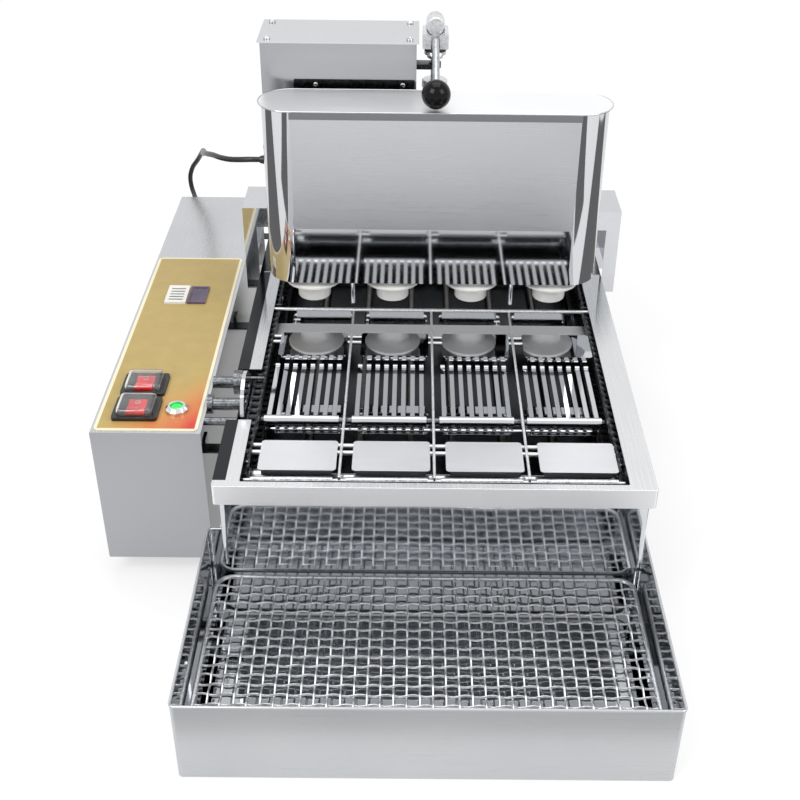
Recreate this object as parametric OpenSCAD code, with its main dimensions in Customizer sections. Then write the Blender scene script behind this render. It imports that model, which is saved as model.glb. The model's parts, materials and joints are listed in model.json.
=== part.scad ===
// Four-lane automatic donut fryer: an oil tank with a flight conveyor and a flipper, a batter
// hopper with four dosing nozzles, a control box beside it and a catch tray in front.
// Millimetres. +Z up, +X to the right, -Y to the front where the donuts come out.

/* [Body] */
// Width over the rim
body_w = 450; // [440:1:480]
// Length of the body over the rim
body_l = 722; // [712:1:760]
// Height of the body from its base to the rim
body_h = 106; // [104:1:130]
// Height of the legs under the body
leg_h = 102; // [101:1:130]
// Side length of a square leg
leg_w = 30; // [24:1:40]
// Depth of the rim's outer skirt
rim_h = 23; // [14:1:30]
// Width of the flat side flanges
flange_w = 27.5; // [24:0.5:30]
// Thickness of the casing sheet
sheet_t = 1.2; // [0.8:0.1:1.6]

/* [Oil tank] */
// Distance from a wall of the tank to the side of the body
tank_gap = 12; // [10:0.5:12.5]
// Height of the tank floor above the base of the body
tank_floor_h = 10; // [6:1:14]
// Radius of the tank's upright corners
tank_corner_r = 15; // [6:1:25]
// Diameter of the heater tube
heater_d = 8.5; // [6:0.5:10]

/* [Conveyor] */
// Number of donut lanes
lane_n = 4; // [3:1:4]
// Distance from the outermost lane to the middle of its chain
lane_side = 3; // [1:0.5:7]
// Pitch of the chain
chain_pitch = 12.7; // [12.5:0.1:12.9]
// Teeth on each sprocket
sprocket_teeth = 12; // [12]
// Number of flights on the chain
flight_n = 6; // [6]
// Gap between the flight plates of neighbouring lanes
flight_gap = 16.5; // [14:0.5:28]
// Depth of one flight plate along the chain
flight_d = 53; // [40:1:56]
// Sideways offset of the flight plates from the middle of their lanes
flight_shift = 4; // [0:0.5:4]
// Diameter of the rods that carry the flights
flight_rod_d = 5; // [4:0.5:6]
// Diameter of the conveyor shafts
shaft_d = 12; // [10:1:16]
// Diameter of the exit rollers
exit_roller_d = 9; // [8:0.5:10]
// Gap between neighbouring exit rollers
exit_roller_gap = 14; // [8:1:28]
// Diameter of the lane divider wires
divider_d = 3; // [2:0.5:3]

/* [Flipper] */
// Fingers in one lane
finger_n = 8; // [5:1:8]
// Gap between the combs of neighbouring lanes
comb_gap = 14.8; // [13:0.1:26]
// Width of one finger
finger_w = 5; // [3:0.5:6]
// Length of one finger from the shaft
finger_l = 108; // [90:1:110]
// Diameter of the flipper shaft
flip_shaft_d = 8; // [7:0.5:8]

/* [Hopper] */
// How far the hopper's flat front runs past the outermost nozzles
hopper_past = 18.5; // [15.5:0.5:23]
// Radius of the hopper's round ends
hopper_r = 35; // [33:1:36]
// Height of the hopper
hopper_h = 216; // [190:1:218]
// Wall of the hopper
hopper_t = 1.2; // [0.8:0.1:1.6]
// Overhang of the lid past the hopper
lid_over = 4; // [3:0.5:5]
// Diameter of a nozzle's flange
nozzle_flange_d = 63.5; // [56:0.5:66]
// Outer diameter of a nozzle's tube
nozzle_d = 39.5; // [36:0.5:44]
// Height of a nozzle
nozzle_h = 32; // [28:1:34]
// Diameter of a dosing piston
piston_d = 31; // [26:0.5:32]
// Stroke of the dosing pistons
piston_stroke = 12; // [8:1:14]

/* [Dosing drive] */
// Width of the drive housing
housing_w = 183; // [170:1:190]
// Depth of the drive housing
housing_d = 82; // [76:1:86]
// Height of the drive housing
housing_h = 218; // [212:1:226]
// Diameter of the ball on the hand lever
ball_d = 33; // [28:1:34]
// Diameter of the push rod
push_rod_d = 10; // [8:1:12]

/* [Control box] */
// Width of the control box
box_w = 120; // [115:1:140]
// Length of the control box
box_l = 618; // [600:1:640]
// Height of the control box
box_h = 175; // [150:1:178]
// Gap between the control box and the rim
box_gap = 26.5; // [22:0.5:30]
// Height of the control box's feet
box_foot_h = 24; // [20:1:40]

/* [Tray] */
// Width of the tray
tray_w = 480; // [470:1:500]
// Length of the tray
tray_l = 258; // [240:1:270]
// Height of the tray
tray_h = 98; // [80:1:98]
// Height of the mesh rack above the tray floor
rack_z = 32; // [24:1:50]
// Spacing of the rack's wires
mesh_pitch = 14; // [12:1:20]
// Diameter of the rack's wires
mesh_d = 2.1; // [1.6:0.1:2.4]
// Diameter of the rack's border rod
rack_rod_d = 5; // [4:0.5:6]

/* [Hidden] */
$fn = 48;
gap = 0.3;                  // clearance between pieces that move past each other
skim = 0.05;                // radial clearance of a running fit

body_front = -394;
body_back = body_front + body_l;
base_z = leg_h;
rim_z = base_z + body_h;
rim_in = body_w / 2 - flange_w;
shell_w = body_w - 10;
shell_top = rim_z - sheet_t;

tank_z = base_z + tank_floor_h;
tank_front = body_front + 10;
tank_back = body_back - 12;
tank_l = tank_back - tank_front;
tank_w = body_w - 2 * tank_gap;

chain_z = rim_z - 13;
sprocket_r = chain_pitch / 2 / sin(180 / sprocket_teeth);
shaft_z = chain_z - sprocket_r;
// Links from one flight to the next: as many as fit the tank with a sprocket's room at each end
flight_links = floor((2 * (tank_l - 90) / chain_pitch + sprocket_teeth) / flight_n);
chain_run = (flight_n * flight_links - sprocket_teeth) * chain_pitch / 2;
front_shaft_y = body_front + 64;
rear_shaft_y = front_shaft_y + chain_run;
chain_x = tank_w / 2 - 14;
lane_pitch = 2 * (chain_x - lane_side) / lane_n;
flight_w = lane_pitch - flight_gap;
exit_roller_l = lane_pitch - exit_roller_gap;
finger_pitch = (lane_pitch - comb_gap) / finger_n;
hopper_flat = (lane_n - 1) * lane_pitch + 2 * hopper_past;
roller_d = 8.5;
plate_t = 1.2;
roller_l = 7.75;
link_h = 11.4;
chain_half = roller_l / 2 + plate_t;
first_flight_y = body_front + 77.5;
bush_l = 4;

exit_y = body_front + 28;
exit_z = rim_z - 13;
divider_z = chain_z + flight_rod_d / 2 + divider_d / 2 + 1.4;
cross_d = 4;
cross_y = -22;
cross_z = divider_z + divider_d / 2 + cross_d / 2 + 0.1;
strip_y = -41;
strip_w = 30;
strip_z = chain_z - 11;

flip_y = body_front + 155;
flip_z = rim_z - 24.8;
finger_t = 1.5;

drive_y = body_front + 161;
drive_z = rim_z - 8;
drive_d = 14;
drive_stub_y = drive_y + 45;
disc_d = 76;
disc_t = 4;
disc_x = -tank_w / 2 + 2.5;
flip_left = disc_x + disc_t + 1;
flip_block_w = 9.6;
notch_y0 = drive_y - disc_d / 2 - 4;
notch_l = drive_stub_y + drive_d + 2 - notch_y0;

hopper_y = -10.5;
hopper_z = rim_z + 46;
hopper_top = hopper_z + hopper_h;
lid_t = 1.2;
nozzle_z = hopper_z - nozzle_h;
nozzle_flange_t = 5;

stand_cheek = 17;
stand_w = body_w + 2 * stand_cheek;
stand_front = 62;
stand_back = 130;
stand_z = rim_z + 95;
housing_right = -22;
housing_left = housing_right - housing_w;
housing_front = 43;
housing_back = housing_front + housing_d;
housing_top = stand_z + housing_h;

push_x = 0;
push_y = 66;
arm_z = hopper_top - 34;
bracket_z = hopper_top + 16;
bracket_t = 6;
block_z = bracket_z + 21;
ring_h = 10;
ring_z = bracket_z - piston_stroke - 2 - ring_h;
collar_z = block_z + 27;
pivot_y = push_y - 22;
pivot_z = block_z + 13;
ball_y = -40;
ball_z = hopper_top + gap + lid_t + ball_d / 2 + 2;

box_right = -body_w / 2 - box_gap;
box_left = box_right - box_w;
box_front = -290;
box_back = box_front + box_l;
box_z = box_foot_h;
box_top = box_z + box_h;
label_t = 1;

tray_x = -6.5;
tray_front = body_front - 189;
tray_z = 0.5;

gland_l = 12;
gland_d = 14;
cable_d = 7;
cable_gland_y = housing_front + 33;
cable_gland_z = stand_z + 60;
cable_box_x = box_left + 16.5;
cable_box_z = box_top - 30;
back_most = max(body_back, box_back + gland_l);

mid_x = (box_left + stand_w / 2) / 2;
mid_y = (tray_front + back_most) / 2;

// Points of the motor cable, from the gland on the housing to the one on the control box
CABLE = [[housing_left - gland_l, cable_gland_y, cable_gland_z], [-230, 76, 363], [-243, 80, 361],
    [-257, 88, 358], [-271, 101, 355], [-283, 119, 351], [-294, 140, 344], [-302, 165, 335],
    [-309, 193, 323], [-313, 220, 312], [-318, 247, 302], [-322, 273, 291], [-327, 299, 281],
    [-331, 322, 274], [-336, 342, 267], [-342, 356, 256], [-350, 367, 242], [-360, 375, 227],
    [-366, 380, 210], [-366, 381, 194], [-362, 376, 181], [-357, 366, 173], [-355, 353, 169],
    [cable_box_x, box_back + gland_l, cable_box_z]];

STEEL = [0.78, 0.79, 0.80];
DARK_STEEL = [0.45, 0.46, 0.48];
BLACK = [0.07, 0.07, 0.08];
WHITE = [0.96, 0.96, 0.95];
GOLD = [0.78, 0.65, 0.34];

// ---- helpers ----

// Puts the origin under the middle of the whole machine
module placed() translate([-mid_x, -mid_y, 0]) children();

function lane_x(i) = (i - (lane_n - 1) / 2) * lane_pitch;
function boundary_x(i) = (i - lane_n / 2) * lane_pitch;

// Rectangle with round corners, centred on x, starting at y0
module round_rect(w, y0, l, r) {
    translate([-w / 2 + r, y0]) square([w - 2 * r, l]);
    translate([-w / 2, y0 + r]) square([w, l - 2 * r]);
    for (x = [-w / 2 + r, w / 2 - r], y = [y0 + r, y0 + l - r]) translate([x, y]) circle(r);
}

// Outline of a strip with round ends, flat length l
module stadium(l, r) {
    translate([-l / 2, -r]) square([l, 2 * r]);
    for (x = [-l / 2, l / 2]) translate([x, 0]) circle(r, $fn = 96);
}

// Extrusion along X of an outline drawn in Y and Z, starting at x0
module along_x(x0, l) translate([x0, 0, 0]) rotate([90, 0, 90]) linear_extrude(l) children();

module bar_x(x0, x1, y, z, d) translate([x0, y, z]) rotate([0, 90, 0]) cylinder(d = d, h = x1 - x0);
module bar_y(x, y0, y1, z, d) translate([x, y0, z]) rotate([-90, 0, 0]) cylinder(d = d, h = y1 - y0);

// Place and direction of the chain at s links from the front end of its upper run.
// It runs back along the top, round the rear sprocket, forward below and round the front one.
function chain_at(s) = let (
    run = chain_run / chain_pitch, half = sprocket_teeth / 2, step = 360 / sprocket_teeth,
    loop = 2 * (run + half), u = s - loop * floor(s / loop))
    u <= run ? [front_shaft_y + u * chain_pitch, chain_z, 0]
    : u <= run + half ? let (a = 90 - (u - run) * step)
        [rear_shaft_y + sprocket_r * cos(a), shaft_z + sprocket_r * sin(a), a - 90]
    : u <= 2 * run + half ? [rear_shaft_y - (u - run - half) * chain_pitch,
        shaft_z - sprocket_r, 180]
    : let (a = 270 - (u - 2 * run - half) * step)
        [front_shaft_y + sprocket_r * cos(a), shaft_z + sprocket_r * sin(a), a - 90];

chain_links = flight_n * flight_links;
chain_phase = (first_flight_y - front_shaft_y) / chain_pitch;

// ---- body ----

module body_shell() color(STEEL) placed() difference() {
    translate([0, 0, base_z]) linear_extrude(shell_top - base_z) difference() {
        round_rect(shell_w, body_front + 4, body_l - 8, 6);
        round_rect(shell_w - 2 * sheet_t, body_front + 4 + sheet_t, body_l - 8 - 2 * sheet_t,
            6 - sheet_t);
    }
    translate([-shell_w / 2 - 1, notch_y0, drive_z - drive_d - 2])
        cube([sheet_t + 2, notch_l, body_h]);
}

// Open slots for the drive shafts in the top edge of the left walls
module shaft_notches(x, w) for (y = [drive_y, drive_stub_y])
    translate([x, y - drive_d / 2 - 1.5, drive_z - drive_d / 2 - 1.5]) cube([w, drive_d + 3, body_h]);

module base_plate() color(DARK_STEEL) placed() difference() {
    translate([0, 0, base_z]) linear_extrude(sheet_t)
        round_rect(shell_w - 2 * sheet_t - 2 * skim, body_front + 4 + sheet_t + skim,
            body_l - 8 - 2 * (sheet_t + skim), 6 - sheet_t);
    for (x = [-120, 0, 120], y = [body_front + 120 : 60 : body_back - 120])
        translate([x, y, base_z - 1]) linear_extrude(sheet_t + 2)
            stadium(50, 4);
}

module top_rim() color(STEEL) placed() difference() {
    translate([0, 0, rim_z - rim_h]) linear_extrude(rim_h)
        round_rect(body_w, body_front, body_l, 3);
    translate([0, 0, rim_z - rim_h - 1]) linear_extrude(rim_h + 1 - sheet_t)
        round_rect(body_w - 2 * sheet_t, body_front + sheet_t, body_l - 2 * sheet_t, 2);
    translate([0, 0, rim_z - sheet_t - 1]) linear_extrude(sheet_t + 2)
        round_rect(2 * rim_in, body_front + 9, body_l - 9 - flange_w, 2);
    translate([-body_w / 2 - 1, notch_y0, rim_z - rim_h - 1])
        cube([flange_w + 2, notch_l, rim_h + 2]);
}

module oil_tank() color(DARK_STEEL) placed() difference() {
    translate([0, 0, tank_z]) linear_extrude(shell_top - tank_z)
        round_rect(tank_w + 2 * sheet_t, tank_front - sheet_t, tank_l + 2 * sheet_t,
            tank_corner_r + sheet_t);
    translate([0, 0, tank_z + sheet_t]) linear_extrude(body_h)
        round_rect(tank_w, tank_front, tank_l, tank_corner_r);
    shaft_notches(-tank_w / 2 - sheet_t - 1, sheet_t + 2);
    for (y = [front_shaft_y, rear_shaft_y])
        bar_x(-tank_w / 2 - sheet_t - 1, tank_w / 2 + sheet_t + 1, y, shaft_z, bearing_d);
    bar_x(tank_w / 2 - 1, tank_w / 2 + sheet_t + 1, flip_y, flip_z, flip_bearing_d);
}

bearing_d = shaft_d + 8;
flip_bearing_d = flip_shaft_d + 5;
FEET_Y = [body_front + 104, body_back - 40];
feet_x = shell_w / 2 - 24;
leg_foot_h = 14;

module feet() color(BLACK) placed() {
    for (x = [-feet_x, feet_x], y = FEET_Y) {
        translate([x - leg_w / 2, y - leg_w / 2, leg_foot_h]) cube([leg_w, leg_w, leg_h - leg_foot_h]);
        translate([x, y, 0]) cylinder(d1 = leg_w + 4, d2 = leg_w + 10, h = leg_foot_h);
    }
    for (x = [box_left + 34, box_right - 34], y = [box_front + 60, box_back - 60])
        translate([x, y, 0]) cylinder(d1 = 26, d2 = 32, h = box_foot_h);
}

// ---- heater ----

heater_z = tank_z + sheet_t + 5 + heater_d / 2;
heater_bend_r = (tank_w / 2 - 33) / 6;
heater_half_w = 6 * heater_bend_r - 5;
heater_y0 = tank_front + 75;
heater_y1 = tank_back - 60;

module heater_element() color(DARK_STEEL) placed() {
    for (s = [-1, 1]) {
        for (x = [0, 2, 4, 6]) bar_y(s * (25 + x * heater_bend_r - (x == 6 ? 5 : 0)),
            heater_y0, heater_y1, heater_z, heater_d);
        heater_bend(s * (25 + heater_bend_r), heater_y0, 180, heater_bend_r);
        heater_bend(s * (25 + 3 * heater_bend_r), heater_y1, 0, heater_bend_r);
        heater_bend(s * (25 + 5 * heater_bend_r - 2.5), heater_y0, 180, heater_bend_r - 2.5);
    }
    for (y = [heater_y0 + 40, heater_y1 - 40], s = [-1, 1])
        translate([s * 25 + (s < 0 ? -heater_half_w : 0), y - 5, tank_z + sheet_t])
            cube([heater_half_w, 10, 5]);
}

module heater_bend(x, y, start, r) translate([x, y, heater_z])
    rotate_extrude(angle = 180, start = start) translate([r, 0]) circle(d = heater_d);

// ---- conveyor ----

rail_t = 1.5;

module chain_rails() color(STEEL) placed() {
    for (s = [-1, 1], z = [chain_z, shaft_z - sprocket_r]) {
        rail_l = chain_run - 60;
        difference() {
            union() {
                along_x(s > 0 ? chain_x - 4 : -tank_w / 2, tank_w / 2 - chain_x + 4)
                    translate([front_shaft_y + 30, z - link_h / 2 - rail_t - skim])
                        square([rail_l, rail_t]);
                along_x(s > 0 ? tank_w / 2 - rail_t : -tank_w / 2, rail_t)
                    translate([front_shaft_y + 30, z - link_h / 2 - skim]) square([rail_l, 10]);
            }
            if (s < 0) translate([-tank_w / 2 - 1, notch_y0, drive_z - disc_d / 2])
                cube([disc_x + disc_t + 1.5 + tank_w / 2, notch_l, disc_d]);
        }
    }
}

// Side view of a run of side plates, one over each pair of pins
module plate_band() for (i = [0 : chain_links - 1]) {
    p = chain_at(i + chain_phase);
    q = chain_at(i + 1 + chain_phase);
    translate([p[0], p[1]]) circle(link_h / 2, $fn = 24);
    translate([p[0], p[1]]) rotate(atan2(q[1] - p[1], q[0] - p[0]))
        translate([0, -link_waist / 2]) square([chain_pitch, link_waist]);
}

link_waist = 8.2;
tooth_r = sprocket_r + 2.8;

// True where a roller at p lies outside the sweep of both sprockets' teeth
function rolls_free(p) = min([for (y = [front_shaft_y, rear_shaft_y])
    norm([p[0] - y, p[1] - shaft_z])]) > tooth_r + roller_d / 2 + gap;

// Two bands of side plates with rollers between them. Over the sprockets the rollers are left out,
// because the chain stands still in this model while the teeth turn through their places.
module chain_side(x) color(DARK_STEEL) placed() {
    for (s = [-1, 1])
        along_x(x + (s > 0 ? roller_l / 2 : -roller_l / 2 - 2 * plate_t), 2 * plate_t) plate_band();
    for (i = [0 : chain_links - 1]) {
        p = chain_at(i + chain_phase);
        if (rolls_free(p)) bar_x(x - roller_l / 2, x + roller_l / 2, p[0], p[1], roller_d);
    }
}

module chain_left() chain_side(-chain_x);
module chain_right() chain_side(chain_x);

// The flight plates lie on two rods, each through pins of both chains
flight_sheet = 1.2;
flight_lip = 5;
flight_rise = flight_rod_d / 2 + skim;

// Number k sits k flights along the loop from the front of the upper run
module flight(k) color(STEEL) placed() {
    p = chain_at(k * flight_links + chain_phase);
    translate([0, p[0], p[1]]) rotate([p[2], 0, 0]) {
        for (y = [0, chain_pitch]) translate([0, y, 0]) rotate([0, 90, 0])
            cylinder(d = flight_rod_d, h = 2 * (chain_x - chain_half - plate_t) - 2 * skim,
                center = true);
        for (i = [0 : lane_n - 1]) translate([lane_x(i) + flight_shift, 0, 0]) flight_plate();
    }
}

module flight_plate() difference() {
    union() {
        translate([0, chain_pitch + 4, flight_rise]) linear_extrude(flight_sheet)
            round_rect(flight_w, -flight_d, flight_d, 4);
        translate([-flight_w / 2 + 4, chain_pitch + 4 - flight_d, flight_rise - flight_lip])
            cube([flight_w - 8, flight_sheet, flight_lip + flight_sheet / 2]);
        for (s = [-1, 1]) along_x(s > 0 ? flight_w / 2 - 6 : -flight_w / 2 + 5, 1)
            translate([-5, -4.5]) square([chain_pitch + 7, flight_rise + 4.5 + flight_sheet / 2]);
    }
    for (y = [0, chain_pitch]) translate([0, y, 0]) rotate([0, 90, 0])
        cylinder(d = flight_rod_d, h = flight_w + 2, center = true);
}

// A sprocket: teeth between the rollers of the chain
module sprocket(phase) {
    difference() {
        union() {
            circle(sprocket_r - roller_d / 2 + 1);
            for (i = [0 : sprocket_teeth - 1]) rotate(phase + i * 360 / sprocket_teeth)
                polygon([[0, -4.3], [sprocket_r - 4, -4.3], [tooth_r, -1], [tooth_r, 1],
                    [sprocket_r - 4, 4.3], [0, 4.3]]);
        }
        for (i = [0 : sprocket_teeth - 1])
            rotate(phase + (i + 0.5) * 360 / sprocket_teeth)
                translate([sprocket_r, 0]) circle(d = roller_d + 2 * gap);
        circle(d = shaft_d);
    }
}

sprocket_t = 6.8;
hub_l = 25;

module sprocket_shaft(y, phase) color(STEEL) placed() {
    translate([0, y, shaft_z]) {
        rotate([0, 90, 0]) cylinder(d = shaft_d, h = tank_w + 2 * sheet_t + 2, center = true);
        for (s = [-1, 1]) {
            along_x(s * chain_x - sprocket_t / 2, sprocket_t) sprocket(phase);
            along_x(s > 0 ? chain_x - hub_l : -chain_x + sprocket_t / 2, hub_l - sprocket_t / 2)
                difference() {
                    circle(d = shaft_d + 10);
                    circle(d = shaft_d);
                }
        }
    }
}

front_phase = 90 + 360 / sprocket_teeth * (0.5 - chain_phase);
rear_phase = 90 + 360 / sprocket_teeth * (0.5 + chain_run / chain_pitch - chain_phase);
module front_sprocket_shaft() sprocket_shaft(front_shaft_y, front_phase);
module rear_sprocket_shaft() sprocket_shaft(rear_shaft_y, rear_phase);

module shaft_bearings() color("goldenrod") placed() {
    for (s = [-1, 1]) {
        for (y = [front_shaft_y, rear_shaft_y]) translate([0, y, shaft_z])
            along_x(s > 0 ? tank_w / 2 - 1 : -tank_w / 2 - bush_l + 1, bush_l) difference() {
                circle(d = bearing_d);
                circle(d = shaft_d + 2 * skim);
            }
    }
    translate([0, flip_y, flip_z]) along_x(tank_w / 2, bush_l - 1) difference() {
        circle(d = flip_bearing_d);
        circle(d = flip_shaft_d + 2 * skim);
    }
    translate([0, flip_y, flip_z]) along_x(flip_left, flip_block_w) difference() {
        translate([-8, -7]) square([16, chain_z - link_h / 2 - rail_t - skim - flip_z + 7]);
        circle(d = flip_shaft_d + 2 * skim);
    }
}

exit_rod_d = 5;

module exit_roller_shaft() color(STEEL) placed()
    bar_x(-tank_w / 2, tank_w / 2, exit_y, exit_z, exit_rod_d);

module exit_rollers() color(STEEL) placed() for (i = [0 : lane_n - 1])
    translate([lane_x(i) - exit_roller_l / 2, exit_y, exit_z]) rotate([0, 90, 0]) difference() {
        cylinder(d = exit_roller_d, h = exit_roller_l);
        translate([0, 0, -1]) cylinder(d = exit_rod_d + 2 * skim, h = exit_roller_l + 2);
    }

module lane_dividers() color(STEEL) placed() for (i = [1 : lane_n - 1]) {
    x = boundary_x(i);
    bar_y(x, exit_y, cross_y + cross_d, divider_z, divider_d);
    translate([x, exit_y, exit_z + exit_rod_d / 2]) cylinder(d = divider_d,
        h = divider_z - exit_z - exit_rod_d / 2);
    translate([x, exit_y, divider_z]) sphere(d = divider_d);
}

module cross_rod() color(STEEL) placed()
    bar_x(-tank_w / 2, tank_w / 2, cross_y, cross_z, cross_d);

// Flat oil guard across the tank under the nozzles
module cross_strip() color(STEEL) placed() {
    translate([-tank_w / 2, strip_y - strip_w / 2, strip_z]) cube([tank_w, strip_w, sheet_t]);
    translate([-tank_w / 2, strip_y - strip_w / 2, strip_z - 8]) cube([tank_w, sheet_t, 8]);
}

// ---- flipper ----

module flipper_shaft() color(STEEL) placed() {
    bar_x(flip_left, tank_w / 2 + sheet_t + 2, flip_y, flip_z, flip_shaft_d);
}

// Flat fingers with curled tips, which point to the hopper
module flipper_combs() color(STEEL) placed() translate([0, flip_y, flip_z])
    for (i = [0 : lane_n - 1]) {
        difference() {
            along_x(lane_x(i) - finger_n * finger_pitch / 2, finger_n * finger_pitch)
                circle(d = flip_shaft_d + 4);
            along_x(lane_x(i) - finger_n * finger_pitch / 2 - 1, finger_n * finger_pitch + 2)
                circle(d = flip_shaft_d);
        }
        for (j = [0 : finger_n - 1])
            along_x(lane_x(i) + (j - (finger_n - 1) / 2) * finger_pitch - finger_w / 2, finger_w)
                finger();
    }

finger_curl_r = 3.5;

// Side view of one finger
module finger() difference() {
    union() {
        translate([0, flip_shaft_d / 2]) square([finger_l - finger_curl_r + finger_t, finger_t]);
        translate([finger_l, flip_shaft_d / 2]) difference() {
            circle(finger_curl_r, $fn = 24);
            circle(finger_curl_r - finger_t, $fn = 24);
            translate([-10, -10]) square([10, 10]);
        }
    }
}

// ---- drive between control box and tank ----

module drive_shaft() color(STEEL) placed() {
    bar_x(box_right + gap, disc_x, drive_y, drive_z, drive_d);
    bar_x(box_right + gap, box_right + gap + 6, drive_y, drive_z, drive_d + 8);
}

module drive_disc() color(STEEL) placed() translate([disc_x, drive_y, drive_z])
    rotate([0, 90, 0]) difference() {
        cylinder(d = disc_d, h = disc_t, $fn = 96);
        for (a = [45 : 90 : 315]) rotate(a) translate([disc_d / 4 + 3, 0, -1])
            cylinder(d = 10, h = disc_t + 2);
    }

// Fixed post with a collar beside the disc, its small stop pin, and the tie rod in front
module drive_stub() color(STEEL) placed() {
    bar_x(box_right, -tank_w / 2 - sheet_t, drive_y - 27, drive_z - 5, 9);
    bar_x(box_right, -tank_w / 2 - 4, drive_stub_y, drive_z, drive_d);
    bar_x(-tank_w / 2 - 14, -tank_w / 2 - 4, drive_stub_y, drive_z, 2 * drive_d);
    bar_x(-tank_w / 2 - 4, -tank_w / 2 + 20, drive_stub_y, drive_z + 6, 4);
}

module box_brackets() color(STEEL) placed()
    for (y = [box_front + 22, 3, box_back - 60])
        translate([box_right, y - 8, rim_z - rim_h - 22]) difference() {
            cube([box_gap + 5, 16, 18]);
            translate([2, -1, 2]) cube([box_gap + 1, 18, 17]);
        }

// ---- hopper ----

module hopper_shell() color(STEEL) placed() translate([0, hopper_y, hopper_z]) difference() {
    linear_extrude(hopper_h) stadium(hopper_flat, hopper_r);
    translate([0, 0, 2]) linear_extrude(hopper_h) stadium(hopper_flat, hopper_r - hopper_t);
    for (i = [0 : lane_n - 1]) translate([lane_x(i), 0, -1]) cylinder(d = piston_d + 2, h = 4);
    translate([push_x - 9, 0, arm_z - hopper_z - 6]) cube([18, 60, piston_stroke + 20]);
}

module hopper_lid() color(STEEL) placed() translate([0, hopper_y, hopper_top + gap]) {
    linear_extrude(lid_t) stadium(hopper_flat, hopper_r + lid_over);
    translate([-hopper_flat / 2, -hopper_r - lid_over, -8]) cube([hopper_flat, lid_t, 8.5]);
}

// White nozzle under the hopper: flange, cone and tube
module nozzle(i) color(WHITE) placed() translate([lane_x(i), hopper_y, nozzle_z])
    rotate_extrude($fn = 72) polygon([[piston_d / 2 + gap, 0], [nozzle_d / 2 - 1, 0],
        [nozzle_d / 2, 1], [nozzle_d / 2, nozzle_h - nozzle_flange_t - 6],
        [nozzle_flange_d / 2 - 6, nozzle_h - nozzle_flange_t],
        [nozzle_flange_d / 2, nozzle_h - 2], [nozzle_flange_d / 2, nozzle_h],
        [piston_d / 2 + gap, nozzle_h]]);

piston_h = 16;

module piston_frame() color(STEEL) placed() {
    for (i = [0 : lane_n - 1]) translate([lane_x(i), hopper_y, 0]) {
        translate([0, 0, nozzle_z + 2]) cylinder(d = piston_d, h = piston_h);
        translate([0, 0, nozzle_z + 2 + piston_h]) cylinder(d = 8, h = arm_z - nozzle_z - piston_h);
    }
    translate([lane_x(0) - 8, hopper_y - 6, arm_z]) cube([lane_x(lane_n - 1) * 2 + 16, 12, 8]);
    difference() {
        translate([push_x - 7, hopper_y, arm_z]) cube([14, push_y - hopper_y + 12, 8]);
        translate([push_x, push_y, arm_z - 1]) cylinder(d = push_rod_d, h = 10);
    }
}

bracket_w = 20;
bracket_x = rim_in + 0.5;

module hopper_brackets() color(STEEL) placed() {
    for (s = [-1, 1]) {
        translate([s * bracket_x - bracket_w / 2, hopper_y - 8, rim_z]) cube([bracket_w, 2, hopper_z - rim_z]);
        translate([s * bracket_x - bracket_w / 2, hopper_y - 8, rim_z]) cube([bracket_w, 18, 2]);
    }
    for (s = [-1, 1]) translate([s * 120 - 15, hopper_y + hopper_r, stand_z - 20])
        cube([30, housing_front - hopper_y - hopper_r, 2]);
}

// Bridge over the tank that carries the hopper's back and the drive housing
module hopper_stand() color(STEEL) placed() {
    difference() {
        translate([-stand_w / 2, stand_front, stand_z - 26])
            cube([stand_w, stand_back - stand_front, 26]);
        translate([-stand_w / 2 + 1.5, stand_front + 1.5, stand_z - 27])
            cube([stand_w - 3, stand_back - stand_front - 3, 25.5]);
    }
    translate([housing_left, housing_front, stand_z - 26]) difference() {
        cube([-2 * housing_left, stand_front - housing_front + 1, 26]);
        translate([1.5, 1.5, -1]) cube([-2 * housing_left - 3, stand_front - housing_front - 1.5, 25.5]);
    }
    for (s = [-1, 1]) translate([s > 0 ? body_w / 2 : -stand_w / 2, stand_front, rim_z - 20])
        difference() {
            cube([stand_cheek, stand_back - stand_front, stand_z - rim_z - 6]);
            translate([s > 0 ? -1 : 1.5, 1.5, -1]) cube([stand_cheek - 0.5, stand_back - stand_front - 3, 200]);
        }
}

// ---- dosing drive ----

module drive_housing() color(STEEL) placed() {
    translate([housing_left, housing_front, stand_z]) difference() {
        cube([housing_w, housing_d, housing_h]);
        translate([sheet_t, sheet_t, -1])
            cube([housing_w - 2 * sheet_t, housing_d - 2 * sheet_t, housing_h + 2]);
        translate([-1, cable_gland_y - housing_front, cable_gland_z - stand_z]) rotate([0, 90, 0])
            cylinder(d = 8, h = 5);
    }
}

cover_over = 3;

module housing_cover() color(STEEL) placed() difference() {
    translate([housing_left - cover_over, housing_front - cover_over, housing_top])
        cube([housing_w + 2 * cover_over, housing_d + 2 * cover_over, 2]);
    for (x = [housing_left + 8, housing_right - 8], y = [housing_front + 8, housing_back - 8])
        translate([x, y, housing_top - 1]) cylinder(d = 4.2, h = 4);
}

motor_d = 62;

module gear_motor() color(DARK_STEEL) placed() {
    translate([housing_left + 60, housing_back - sheet_t - 40, stand_z])
        cylinder(d = motor_d, h = 110);
    translate([housing_left + 22, housing_back - sheet_t - 76, stand_z + 110]) cube([120, 72, 50]);
}

// Threaded rod with the nuts and washers that hold its clamps
module push_rod() color(STEEL) placed() translate([push_x, push_y, 0]) {
    translate([0, 0, arm_z - 20]) cylinder(d = push_rod_d, h = block_z - arm_z + 20);
    translate([0, 0, block_z - 4]) cylinder(d = 26, h = 4);
    translate([0, 0, block_z - 9]) cylinder(d = 19, h = 5, $fn = 6);
}

clamp_w = 28;

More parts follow.
